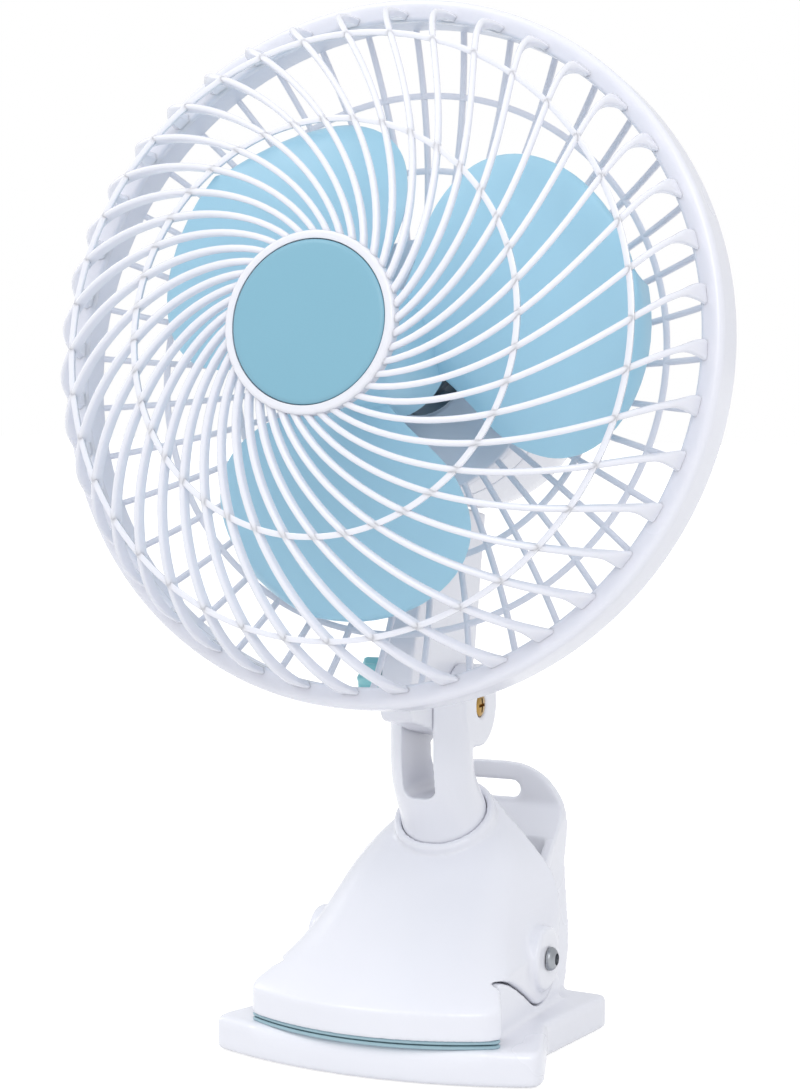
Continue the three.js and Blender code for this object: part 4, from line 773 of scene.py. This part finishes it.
spin = joints["blade_spin"]
ahead = Vector(spin["axis"]).normalized()
FACING = Matrix.Identity(3)
FACING.col[1], FACING.col[2] = -ahead, Vector((1, 0, 0)).cross(-ahead)
FAN_PLACE = Matrix.Translation(spin["pos_m"]) @ FACING.to_4x4()
PIVOT_PLACE = Matrix.Translation(joints["head_tilt"]["pos_m"]) @ FACING.to_4x4()
from_rim = (Vector(joints["head_tilt"]["pos_m"]) - Vector(spin["pos_m"])) / MM
PIVOT_BACK = from_rim.dot(-ahead)                              # 60, along the fan's axis
AXIS_UP = -from_rim.dot(Vector((1, 0, 0)).cross(-ahead))       # 93.2, square to it
CASE = {"r": 36, "wall": 2.2, "nose_r": 13, "shoulder": 4, "front": -26.9, "join": -40.9, "rear": -85.9}
STEM = {"half": 4.7, "end_r": 9.5, "bore": 2.3, "front": -35.5}
POST = {"in": 6, "r": 4.3, "high": 6.5, "bore": 1.55}
SWITCH = {"y": -29, "z": 5, "half": 5, "reach": 1.8}
VENT = {"count": 14, "front_in": 17, "front_out": 31, "wide": 2.4, "rear_in": 10, "rear_out": 26}


def bar_ahead(r, d0, d1, x=0, z=0, sides=48):
    """A round bar along the fan's axis, from one distance ahead of the rim to another."""
    return drawn("bar", arc(x, z, r, 0, 360 * (1 - 1 / sides), sides - 1), -d1, -d0, "Y")


def bars_on_posts(r, d0, d1):
    """A bar at each of the three posts that stand just inside the case, one at the top."""
    out = CASE["r"] - POST["in"]
    angles = [radians(a) for a in (90, 210, 330)]
    return [bar_ahead(r, d0, d1, out * cos(a), out * sin(a)) for a in angles]


def vent_slots(inner, outer, d0, d1, left_out):
    """Round-ended radial slots, apart from those whose numbers are left out."""
    r = VENT["wide"] / 2
    outline = arc(outer - r, 0, r, -90, 90, 10) + arc(inner + r, 0, r, 90, 270, 10)
    slots = []
    for k in sorted(set(range(VENT["count"])) - set(left_out)):
        slot = drawn("slot", outline, -d1, -d0, "Y")
        slot.data.transform(Matrix.Rotation(-2 * pi * k / VENT["count"], 4, "Y"))
        slots.append(slot)
    return slots


def motor_housing():
    r, wall, front, join = CASE["r"], CASE["wall"], CASE["front"], CASE["join"]
    nose_r, round_r = CASE["nose_r"], CASE["shoulder"]
    cup = turned("housing", [(nose_r, front)] + arc(r - round_r, front - round_r, round_r, 90, 0, 10)
                 + [(r, join), (r - wall, join), (r - wall, front - wall - 2.5), (r - wall - 1.5, front - wall),
                    (nose_r, front - wall)], 128)
    cup = combined(cup, "DIFFERENCE", *vent_slots(VENT["front_in"], VENT["front_out"], front - 4, front + 2,
                                                  (0, 7, 10, 11)))
    top, end_r, front_y = AXIS_UP - r + 6, STEM["end_r"], STEM["front"]
    side = [(end_r + 2.5, top), (end_r + 1.5, 24, 6)] + arc(0, 0, end_r, 12, -100, 24)
    side += [(-14, 0.9 - end_r), (front_y + 9.5, 2.5 - end_r, 3), (front_y, 3 - end_r, 6), (front_y, 10, 5),
             (front_y + 2, 26, 5), (front_y + 4.5, 44, 5), (front_y + 6.5, top)]
    half, room = STEM["half"], SWITCH["half"] + 0.3
    tongue = combined(drawn("tongue", rounded(side), -half, half, "X"), "DIFFERENCE",
                      bar_across(STEM["bore"], -30, 30, Vector()),
                      block((-half - 1, SWITCH["reach"]), (SWITCH["y"] - room, SWITCH["y"] + room),
                            (SWITCH["z"] - room, SWITCH["z"] + room)))
    tongue.data.transform(Matrix.Translation((0, PIVOT_BACK, -AXIS_UP)))
    tongue = combined(tongue, "DIFFERENCE", bar_ahead(r - wall + 0.3, join - 60, front - wall, sides=128),
                      block((-FAR, FAR), (-join - 0.2, -join + 80), (-r, r)))
    posts = bars_on_posts(POST["r"], front - 0.5 - POST["high"], front - 0.5)
    return combined(combined(cup, "UNION", tongue, *posts), "DIFFERENCE",
                    *bars_on_posts(POST["bore"], front - 30, front + 5))


housing = moulded(motor_housing(), voxel=0.55, passes=4)
set_down(housing, white_abs, "motor_housing_moulding", FAN_PLACE)
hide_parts("motor_housing")
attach(housing, "head")

# ---------------------------------------------------------------- motor cover
# The rear half of the case: a deep drawn-in cup that slips over the motor, with radial vents and a hole
# for the cord low on its back.

INLET = {"r": 3.6, "drop": 22, "wall": 1.1, "flange": 2, "flange_thick": 1.3, "edge": 0.9, "inside": 3.2}


def motor_cover():
    r, wall, rear, front = CASE["r"], CASE["wall"], CASE["rear"], CASE["join"] - 0.3
    outside = [(0, r, front), (1, r, rear + 30), (2, r - 0.4, rear + 20), (3, r - 2.8, rear + 9.6),
               (4, r - 8, rear + 2.7), (5, r - 15, rear)]
    inside = [(0, r - 15.5, rear + wall), (1, r - 9.4, rear + 4.8), (2, r - 5, rear + 11.3),
              (3, r - wall - 0.3, rear + 21), (4, r - wall, rear + 30), (5, r - wall, front)]
    profile = [row[1:] for row in through(outside, 6)] + [(0, rear), (0, rear + wall)]
    profile += [row[1:] for row in through(inside, 5)]
    cup = turned("cover", profile, 128)
    stem_room = block((-STEM["half"] - 0.3, STEM["half"] + 0.3), (-front - 5, PIVOT_BACK + STEM["end_r"] + 4),
                      (-r - 5, -r + wall + 0.4))
    return combined(cup, "DIFFERENCE", *vent_slots(VENT["rear_in"], VENT["rear_out"], rear - 2, rear + 6,
                                                   (10, 11)),
                    bar_ahead(INLET["r"], rear - 2, rear + 12, 0, -INLET["drop"]), stem_room)


cover = set_down(moulded(motor_cover(), voxel=0.55, passes=4), white_abs, "motor_cover_moulding", FAN_PLACE)
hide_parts("motor_cover")
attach(cover, "head")

# ---------------------------------------------------------------- cord inlet
# A bare grommet of the same plastic in the cover's back, snapped in from outside: a round flange over a
# short barrel.

back = CASE["rear"]
inside, flange_r, edge = back + INLET["inside"], INLET["r"] + INLET["flange"], INLET["edge"]
barrel_r = INLET["r"] - 0.3
bore_r = barrel_r - INLET["wall"]
profile = [(bore_r, inside), (barrel_r, inside), (barrel_r, back - 0.3), (flange_r, back - 0.3)]
profile += [(flange_r - edge + edge * cos(a), back - 0.4 - edge * sin(a)) for a in quarter(6)]
profile += [(INLET["r"], back - INLET["flange_thick"] - 0.6), (bore_r + 0.4, back - 2.2), (bore_r, back - 1.9)]
inlet = turned("inlet_grommet", profile, 64)
inlet.data.transform(Matrix.Translation((0, 0, -INLET["drop"])))
set_down(inlet, white_abs, place=FAN_PLACE, crease=40)
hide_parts("cord_inlet")
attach(inlet, "head")

# ---------------------------------------------------------------- rear guard
# A shallow dish of straight radial ribs and two hoops, moulded in one with the plate that is screwed to
# the housing. Its edge ring slips into the rim of the front guard.

RIM = {"r": 97.5, "front": 5.5, "rear": -8.5, "wall": 2, "flange": 6.1, "flange_d": 1.5}
REAR = {"ribs": 40, "plate_r": 37, "plate_d": -23.8, "plate_thick": 2.8, "hole_r": 15, "wide": 1.8,
        "deep": 2.1, "hoops": (56, 76), "under": 0.6, "edge_d": -6, "edge_wall": 2.6, "screw_hole_r": 1.7}
REAR_EDGE_R = RIM["r"] - RIM["wall"] - RUN


def ring_of_copies():
    """A tree that sets copies of its geometry round the fan's axis and makes them one mesh."""
    tree = bpy.data.node_groups.new("ring_of_copies", "GeometryNodeTree")
    sides = tree.interface
    sides.new_socket("Geometry", in_out="INPUT", socket_type="NodeSocketGeometry")
    sides.new_socket("Copies", in_out="INPUT", socket_type="NodeSocketInt")
    sides.new_socket("Finish", in_out="INPUT", socket_type="NodeSocketMaterial")
    sides.new_socket("Geometry", in_out="OUTPUT", socket_type="NodeSocketGeometry")
    given = add_node(tree, "NodeGroupInput").outputs
    apart = add_node(tree, "ShaderNodeMath", {0: 2 * pi, 1: given["Copies"]}, operation="DIVIDE")
    turn = add_node(tree, "ShaderNodeMath", {0: add_node(tree, "GeometryNodeInputIndex").outputs[0],
                                             1: apart.outputs[0]}, operation="MULTIPLY")
    about = add_node(tree, "ShaderNodeCombineXYZ", {"Y": turn.outputs[0]})
    spots = add_node(tree, "GeometryNodePoints", {"Count": given["Copies"]})
    copies = add_node(tree, "GeometryNodeInstanceOnPoints", {"Points": spots.outputs[0],
                                                             "Instance": given["Geometry"],
                                                             "Rotation": about.outputs[0]})
    real = add_node(tree, "GeometryNodeRealizeInstances", {"Geometry": copies.outputs[0]})
    finish = add_node(tree, "GeometryNodeSetMaterial", {"Geometry": real.outputs[0],
                                                        "Material": given["Finish"]})
    add_node(tree, "NodeGroupOutput", {"Geometry": finish.outputs[0]})
    return tree


RING = ring_of_copies()


def repeated(piece, copies, finish):
    """Repeats a piece round the fan's axis and leaves one plain mesh."""
    step = piece.modifiers.new("ring", "NODES")
    step.node_group = RING
    values = {"Copies": copies, "Finish": finish}
    for item in RING.interface.items_tree:
        if item.in_out == "INPUT" and item.name in values:
            step[item.identifier] = values[item.name]
    return settle(piece)


def fin(name, steps, at, out, wide, deep):
    """A rib along a curve: a rounded outer edge, and flanks that draw in a little towards the inner one."""
    rings = []
    for k in range(steps + 1):
        t = k / steps
        along = (at(min(t + 0.5 / steps, 1)) - at(max(t - 0.5 / steps, 0))).normalized()
        outwards = out(t)
        across = along.cross(outwards).normalized()
        half, down = wide(t) / 2, deep(t)
        round_r = min(half, down * 0.4)
        section = [(half * 0.62, -down), (half, -round_r)]
        section += [(half - round_r + round_r * cos(a), round_r * sin(a) - round_r) for a in quarter(3, 1)]
        section += mirrored(section)
        rings.append([at(t) + across * u + outwards * v for u, v in section])
    return skinned(name, rings)


def hoop(name, r, d, wide, deep):
    """A thin ring that ties the ribs, flat outside and rounded inwards."""
    half = wide / 2
    section = [(r - half, d), (r - half * 0.7, d + 0.15), (r + half * 0.7, d + 0.15), (r + half, d),
               (r + half * 0.75, d - deep * 0.7), (r, d - deep), (r - half * 0.75, d - deep * 0.7)]
    return turned(name, section, 160)


def joined(name, pieces):
    """One object from several, without cutting them into each other."""
    shape = bmesh.new()
    for piece in pieces:
        shape.from_mesh(piece.data)
        bpy.data.objects.remove(piece)
    mesh = bpy.data.meshes.new(name)
    shape.to_mesh(mesh)
    shape.free()
    return in_scene(name, mesh)


def rear_depth(r):
    t = max((r - REAR["plate_r"]) / (REAR_EDGE_R - REAR["plate_r"]), 0)
    return REAR["plate_d"] + (REAR["edge_d"] - REAR["plate_d"]) * t ** 2


rear_plastic = moulded_plastic("moulded_white_guard_rear", "e6e8f1", roughness=0.34, grain_mm=0.35, relief=0.05)


def rear_guard():
    edge_in, low, high = REAR_EDGE_R - REAR["edge_wall"], RIM["rear"], RIM["flange_d"] - 0.3
    edge = turned("edge", rounded([(edge_in, low, 0.6), (REAR_EDGE_R, low, 0.6), (REAR_EDGE_R, high, 0.6),
                                   (edge_in, high, 0.6)], 4), 160)
    r, d, hole = REAR["plate_r"], REAR["plate_d"], REAR["hole_r"]
    under = d - REAR["plate_thick"]
    plate = turned("plate", rounded([(hole, under, 0.5), (r, under, 0.5), (r, d, 0.8), (hole, d, 0.5)], 4), 160)
    plate = combined(plate, "DIFFERENCE", *bars_on_posts(REAR["screw_hole_r"], under - 2, d + 2))
    start, end = r - 2, REAR_EDGE_R - 1.2

    def at(t):
        x = start + (end - start) * t
        return Vector((x, 0.3 - rear_depth(x), 0))

    rib = fin("rib", 12, at, lambda t: Vector((0, -1, 0)), lambda t: REAR["wide"], lambda t: REAR["deep"])
    ribs = repeated(rib, REAR["ribs"], rear_plastic)
    hoops = [hoop("hoop", hoop_r, rear_depth(hoop_r) - REAR["under"], REAR["wide"],
                  REAR["deep"] - REAR["under"]) for hoop_r in REAR["hoops"]]
    return joined("rear_guard_moulding", [edge, plate, ribs, *hoops])


rear = set_down(rear_guard(), rear_plastic, place=FAN_PLACE, crease=40)
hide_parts("rear_guard")
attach(rear, "head")

# ---------------------------------------------------------------- guard screws
# Three self-tapping screws hold the rear guard on posts of the housing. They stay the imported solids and
# get a plated finish.


def refinish(node, finish):
    for slot in frame["nodes"][node].material_slots:
        slot.material = finish


for n in range(1, 4):
    refinish(f"guard_screw_{n}", zinc_steel)

# ---------------------------------------------------------------- blades
# Hub and three broad blades are one moulding of sky-blue polypropylene, satin rather than glossy. The
# blades are twisted and slightly cupped, thick at the root and thin at the tip.

BLADE = {"count": 3, "tip_r": 74.5, "root_r": 14, "mid_d": 4.6, "pitch": 6.5, "camber": 4.4, "back_at_tip": 9.4,
         "thick": 1.7, "first": 18.4, "root_half": 34.9, "fan_out": 15.8, "sweep": 1.8}
HUB = {"r": 17.5, "front": 29.0, "back": -5.0, "wall": 2, "nose": 11, "boss_r": 5, "bore_r": 2.8,
       "bore_long": 20, "crown": 5}
blue = moulded_plastic("moulded_sky_blue_pp", "a7d4e8", roughness=0.36, grain_mm=0.4, relief=0.06, ior=1.49,
                       subsurface=0.1)


def blade():
    rows, columns = 36, 28
    rings = []
    for k in range(rows + 1):
        r = BLADE["root_r"] + (BLADE["tip_r"] - BLADE["root_r"]) * sin(k / rows * pi / 2) ** 0.9
        u = (r - BLADE["root_r"]) / (BLADE["tip_r"] - BLADE["root_r"])
        shrink = sqrt(max(1 - u ** 5, 0.001))
        fan_out = sin(pi / 2 * min(u * 2, 1))
        half = radians(BLADE["root_half"] + BLADE["fan_out"] * fan_out) * shrink
        front, rear_side = [], []
        for i in range(columns + 1):
            s = 2 * i / columns - 1
            a = radians(BLADE["first"] - BLADE["sweep"] * u) + half * s
            d = (BLADE["mid_d"] + BLADE["pitch"] * s * (1 - 0.25 * u) + BLADE["camber"] * (1 - s * s)
                 - BLADE["back_at_tip"] * u)
            thick = BLADE["thick"] / 2 * (1 - 0.35 * u) * max(1 - abs(s) ** 8 * 0.75, 0.2)
            front.append(about_y(r, a, d + thick))
            rear_side.insert(0, about_y(r, a, d - thick))
        rings.append(front + rear_side)
    return skinned("blade", rings)


def blade_hub():
    r, front, back_d, wall, crown = HUB["r"], HUB["front"], HUB["back"], HUB["wall"], HUB["crown"]
    high, boss_r, boss_back = HUB["nose"], HUB["boss_r"], front - crown - HUB["bore_long"]
    nose = [(r * sin(a), front - high + high * cos(a) ** 0.9) for a in quarter(16)[:-1]]
    return turned("hub", nose + [(r, front - high), (r + 0.4, back_d), (r - wall, back_d),
                                 (r - wall, front - high - 1), (r * 0.7, front - crown - 2),
                                 (boss_r, front - crown), (boss_r, boss_back), (0, boss_back)], 96)


def impeller():
    r, front, crown = HUB["r"], HUB["front"], HUB["crown"]
    inner, open_end = r - HUB["wall"] + 0.2, HUB["back"] - 5
    inside = turned("inside", [(0, open_end), (inner, open_end), (inner, front - HUB["nose"] - 1),
                               (r * 0.7, front - crown - 2.2), (0, front - crown - 0.2)], 96)
    blades = combined(repeated(blade(), BLADE["count"], blue), "DIFFERENCE", inside)
    whole = combined(blade_hub(), "UNION", blades)
    return combined(whole, "DIFFERENCE", bar_ahead(HUB["bore_r"], open_end, front - crown - 2 + 0.3))


fan = set_down(impeller(), blue, "blades_moulding", FAN_PLACE, crease=45)
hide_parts("impeller")
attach(fan, "rotor")

# ---------------------------------------------------------------- front guard
# The deep front grille, moulded in milky, slightly translucent plastic. Forty fins swirl out from the hub
# ring, turn over the shoulder and flare into tabs that meet the rim; two thin hoops tie them.

BOWL = {"r": 93.6, "deep": 46.6, "power": 0.684}
FIN = {"count": 40, "swirl": 0.78, "wide": 1.7, "tab": 5.6, "deep": 3.0, "tab_deep": 1.9}
HUB_RING = {"r": 24, "lip": 2.5, "front": 46.4, "seat": 2.2, "back": 42.2}
HOOPS = {"radii": (54.7, 80.8), "wide": 1.6, "deep": 1.8, "under": 0.5}
guard_plastic = moulded_plastic("moulded_milky_guard", "eaebf3", roughness=0.24, grain_mm=0.35, relief=0.04,
                                ior=1.5, subsurface=0.45)


def bowl_depth(r):
    return BOWL["deep"] * (1 - (r / BOWL["r"]) ** 2) ** (BOWL["power"] / 2)


def smoothstep(low, high, value):
    t = min(max((value - low) / (high - low), 0), 1)
    return t * t * (3 - 2 * t)


def swirl_fin():
    first, last = asin((HUB_RING["r"] - 1) / BOWL["r"]), radians(89.4)

    def angle(t):
        return first + (last - first) * t ** 0.92

    def swirl(t):
        return FIN["swirl"] * log(sin(angle(t)) / sin(first))

    def at(t):
        r, d = BOWL["r"] * sin(angle(t)), BOWL["deep"] * cos(angle(t)) ** BOWL["power"]
        return about_y(r, swirl(t), d)

    def out(t):
        s, c = sin(angle(t)), cos(angle(t))
        out_r, out_d = BOWL["deep"] * BOWL["power"] * s * c ** (BOWL["power"] - 1), BOWL["r"] * c
        return about_y(out_r, swirl(t), out_d).normalized()

    def tab(t):
        return smoothstep(0.8, 1, t)

    return fin("fin", 48, at, out, lambda t: FIN["wide"] + (FIN["tab"] - FIN["wide"]) * tab(t),
               lambda t: FIN["deep"] + (FIN["tab_deep"] - FIN["deep"]) * tab(t))


def front_guard():
    r, inner, flange_d = RIM["r"], RIM["r"] - RIM["flange"], RIM["flange_d"]
    wall = r - RIM["wall"]
    front, rear_d = RIM["front"], RIM["rear"]
    rim = turned("rim", rounded([(inner, flange_d, 0.4), (wall, flange_d, 0.8), (wall, rear_d, 0.4),
                                 (r, rear_d, 0.6), (r, front, 3.2), (inner, front - 1.5, 1.2)], 8), 200)
    hub_r, hub_front, back_d = HUB_RING["r"], HUB_RING["front"], HUB_RING["back"]
    seat_r, seat_d = hub_r - HUB_RING["lip"], hub_front - HUB_RING["seat"]
    outside = rounded([(hub_r, back_d, 0.6), (hub_r, hub_front, 1.1), (seat_r, hub_front, 0.5)], 6)
    hub = turned("hub_ring", [(0, back_d)] + outside + [(seat_r, seat_d), (0, seat_d)], 128)
    hoops = [hoop("hoop", hoop_r, bowl_depth(hoop_r) - HOOPS["under"], HOOPS["wide"], HOOPS["deep"])
             for hoop_r in HOOPS["radii"]]
    fins = repeated(swirl_fin(), FIN["count"], guard_plastic)
    return joined("front_guard_moulding", [rim, hub, *hoops, fins])


guard = set_down(front_guard(), guard_plastic, place=FAN_PLACE, crease=40)
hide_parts("front_guard")
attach(guard, "head")

# ---------------------------------------------------------------- hub disc
# A plain disc in a duller blue than the blades', pushed into the ring at the middle of the grille. It is
# slightly crowned, with a fine broken edge.

disc_r, disc_back, disc_thick, crown = 21.42, 44.5, 2.7, 0.6
shoulder = disc_back + disc_thick - crown
dome = [(disc_r * 0.96 * sin(a), shoulder + crown * cos(a) ** 1.2) for a in quarter(20)]
edge = [(disc_r * 0.985, shoulder - 0.12), (disc_r, shoulder - 0.5), (disc_r, disc_back), (0, disc_back)]
disc = turned("hub_disc_moulding", dome + edge, 128)
disc_blue = moulded_plastic("moulded_sky_blue_disc", "81b3c7", roughness=0.4, grain_mm=0.4, relief=0.06,
                            ior=1.49)
set_down(disc, disc_blue, place=FAN_PLACE, crease=40)
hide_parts("hub_disc")
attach(disc, "head")

# ---------------------------------------------------------------- speed knob
# A small fluted knob of pale teal plastic on the left of the stem, pushed on the switch's bush. It turns
# from off to low and high.

KNOB = {"r": 6, "long": 7, "flutes": 10, "flute_deep": 0.55, "per_flute": 12}
teal = moulded_plastic("moulded_pale_teal", "8fd0d6", roughness=0.3, grain_mm=0.35, relief=0.05)


def knob():
    x0 = -STEM["half"] - RUN - 0.2
    x1 = x0 - KNOB["long"]
    flutes = KNOB["flutes"]
    rings = []
    for inset, x in ((0.3, x0), (0, x0 - 0.3), (0, x1 + 1.2), (0.35, x1 + 0.35), (1.2, x1), (4.5, x1),
                     (5.2, x1 + 0.5)):
        ring = []
        for a in whole_turn(flutes * KNOB["per_flute"]):
            r = KNOB["r"] - inset + (KNOB["flute_deep"] * cos(flutes * a) if inset < 1 else 0)
            ring.append((x, SWITCH["y"] + r * cos(a), SWITCH["z"] + r * sin(a)))
        rings.append(ring)
    return skinned("speed_knob", rings)


knob_piece = set_down(knob(), teal, place=PIVOT_PLACE, crease=50)
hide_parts("switch_knob")
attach(knob_piece, "switch_knob")

# ---------------------------------------------------------------- motor and small hardware
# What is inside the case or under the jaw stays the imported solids: a shaded-pole motor of laminated steel
# with one winding, pressed steel brackets with bronze bushes, and plated screws and washers.


def winding(name, colour, wire_mm):
    """Enamelled copper wire in close turns: fine even ridges round the core, with a lacquered gloss, and
    painted shade that darkens the grooves between the turns.
    """
    material, tree = blank_finish(name)
    place = own_place(tree)
    turns = add_node(tree, "ShaderNodeTexWave", {"Vector": place, "Scale": 1 / (wire_mm * MM) / 20},
                     wave_type="BANDS", bands_direction="X", wave_profile="SIN")
    ridges_and_groove_shade = turns.outputs["Fac"]
    # The colour falls to a third of itself in the grooves between the turns: painted shade.
    surface(tree, {"Base Color": mottled(tree, ridges_and_groove_shade, colour, 0.35), "Metallic": 0.8, "Roughness": 0.35,
                   "Normal": bump(tree, ridges_and_groove_shade, 0.6, wire_mm * MM / 2)})
    return material


laminated = metal("laminated_electrical_steel", "6f7276", roughness=0.45, grain_mm=0.5, streak=(0.1, 1, 0.1))
bronze = metal("sintered_bronze", "8f6d44", roughness=0.5, grain_mm=0.2, relief=0.3)
copper = winding("enamelled_copper_winding", "a8552c", wire_mm=0.5)
black = moulded_plastic("moulded_black_nylon", "1e1f22", roughness=0.45, grain_mm=0.3, relief=0.08)

HARDWARE = [(zinc_steel, ["swivel_washer", "swivel_screw", "tilt_nut", "motor_shaft", "front_bracket",
                          "rear_bracket", "motor_screw_1", "motor_screw_2"]),
            (laminated, ["rotor", "stator_core"]), (copper, ["stator_coil"]),
            (bronze, ["front_bush", "rear_bush"]), (black, ["switch_body"])]
for finish, nodes in HARDWARE:
    for node in nodes:
        refinish(node, finish)

# ---------------------------------------------------------------- studio
# A white sweep: soft light all round, a large softbox high on the left, a smaller one by the camera on the
# right and a weak one behind on the left. The camera looks from 24 degrees to the right and 4 degrees above.

FLOOR_HALF = 6.0
FLOOR_Z = -0.0003


def either(tree, a, b):
    return add_node(tree, "ShaderNodeMath", {0: a, 1: b}, operation="MAXIMUM").outputs[0]


def floor_finish():
    """White board. The camera sees it lifted to paper white, and it keeps the object's shadow."""
    material, tree = blank_finish("white_board")
    rays = add_node(tree, "ShaderNodeLightPath").outputs
    seen = either(tree, either(tree, rays["Is Camera Ray"], rays["Is Glossy Ray"]), rays["Is Transmission Ray"])
    plain = add_node(tree, "ShaderNodeBsdfDiffuse", {"Color": linear("e6e6e6")})
    dim = add_node(tree, "ShaderNodeBsdfDiffuse", {"Color": linear("b4b4b4")})
    glow = add_node(tree, "ShaderNodeEmission", {"Color": (1, 1, 1, 1), "Strength": 0.78})
    lifted = add_node(tree, "ShaderNodeAddShader", {0: dim.outputs[0], 1: glow.outputs[0]})
    both = add_node(tree, "ShaderNodeMixShader", {0: seen, 1: plain.outputs[0], 2: lifted.outputs[0]})
    add_node(tree, "ShaderNodeOutputMaterial", {"Surface": both.outputs[0]})
    return material


floor_mesh = bpy.data.meshes.new("floor")
floor_corners = [(x * FLOOR_HALF, y * FLOOR_HALF, FLOOR_Z) for x, y in ((-1, -1), (1, -1), (1, 1), (-1, 1))]
floor_mesh.from_pydata(floor_corners, [], [[0, 1, 2, 3]])
floor = in_scene("floor", floor_mesh)
floor.data.materials.append(floor_finish())

world = bpy.data.worlds.new("studio")
bpy.context.scene.world = world
world.use_nodes = True
sky = world.node_tree
sky.nodes.clear()
rays = add_node(sky, "ShaderNodeLightPath").outputs
seen = either(sky, rays["Is Camera Ray"], rays["Is Transmission Ray"])
daylight = add_node(sky, "ShaderNodeBackground", {"Color": (0.97, 0.98, 1, 1), "Strength": 0.84})
paper = add_node(sky, "ShaderNodeBackground", {"Color": (1, 1, 1, 1), "Strength": 1.0})
backdrop = add_node(sky, "ShaderNodeMixShader", {0: seen, 1: daylight.outputs[0], 2: paper.outputs[0]})
add_node(sky, "ShaderNodeOutputWorld", {"Surface": backdrop.outputs[0]})


def softbox(name, where, aim, size, watts):
    lamp = bpy.data.lights.new(name, "AREA")
    lamp.shape = "RECTANGLE"
    lamp.size, lamp.size_y = size
    lamp.energy = watts
    light = in_scene(name, lamp)
    light.location = where
    light.rotation_euler = (Vector(aim) - Vector(where)).to_track_quat("-Z", "Y").to_euler()


softbox("key", (-0.8, -0.8, 1.9), (0, 0, 0.12), (0.9, 0.9), 8.2)
softbox("fill", (0.7, -1.2, 1.0), (0, 0, 0.1), (0.5, 0.8), 6.0)
softbox("edge", (-1.5, 0.4, 0.7), (0, 0, 0.1), (0.4, 1.0), 2.6)

camera_data = bpy.data.cameras.new("camera")
camera_data.sensor_fit = "VERTICAL"
camera_data.sensor_height = 36
camera_data.lens = 79.19
camera = in_scene("camera", camera_data)
camera.location = (0.27190, -0.62051, 0.19025)
camera.rotation_euler = (radians(86), 0, radians(24))
bpy.context.scene.camera = camera
bpy.context.scene.view_settings.view_transform = "Standard"
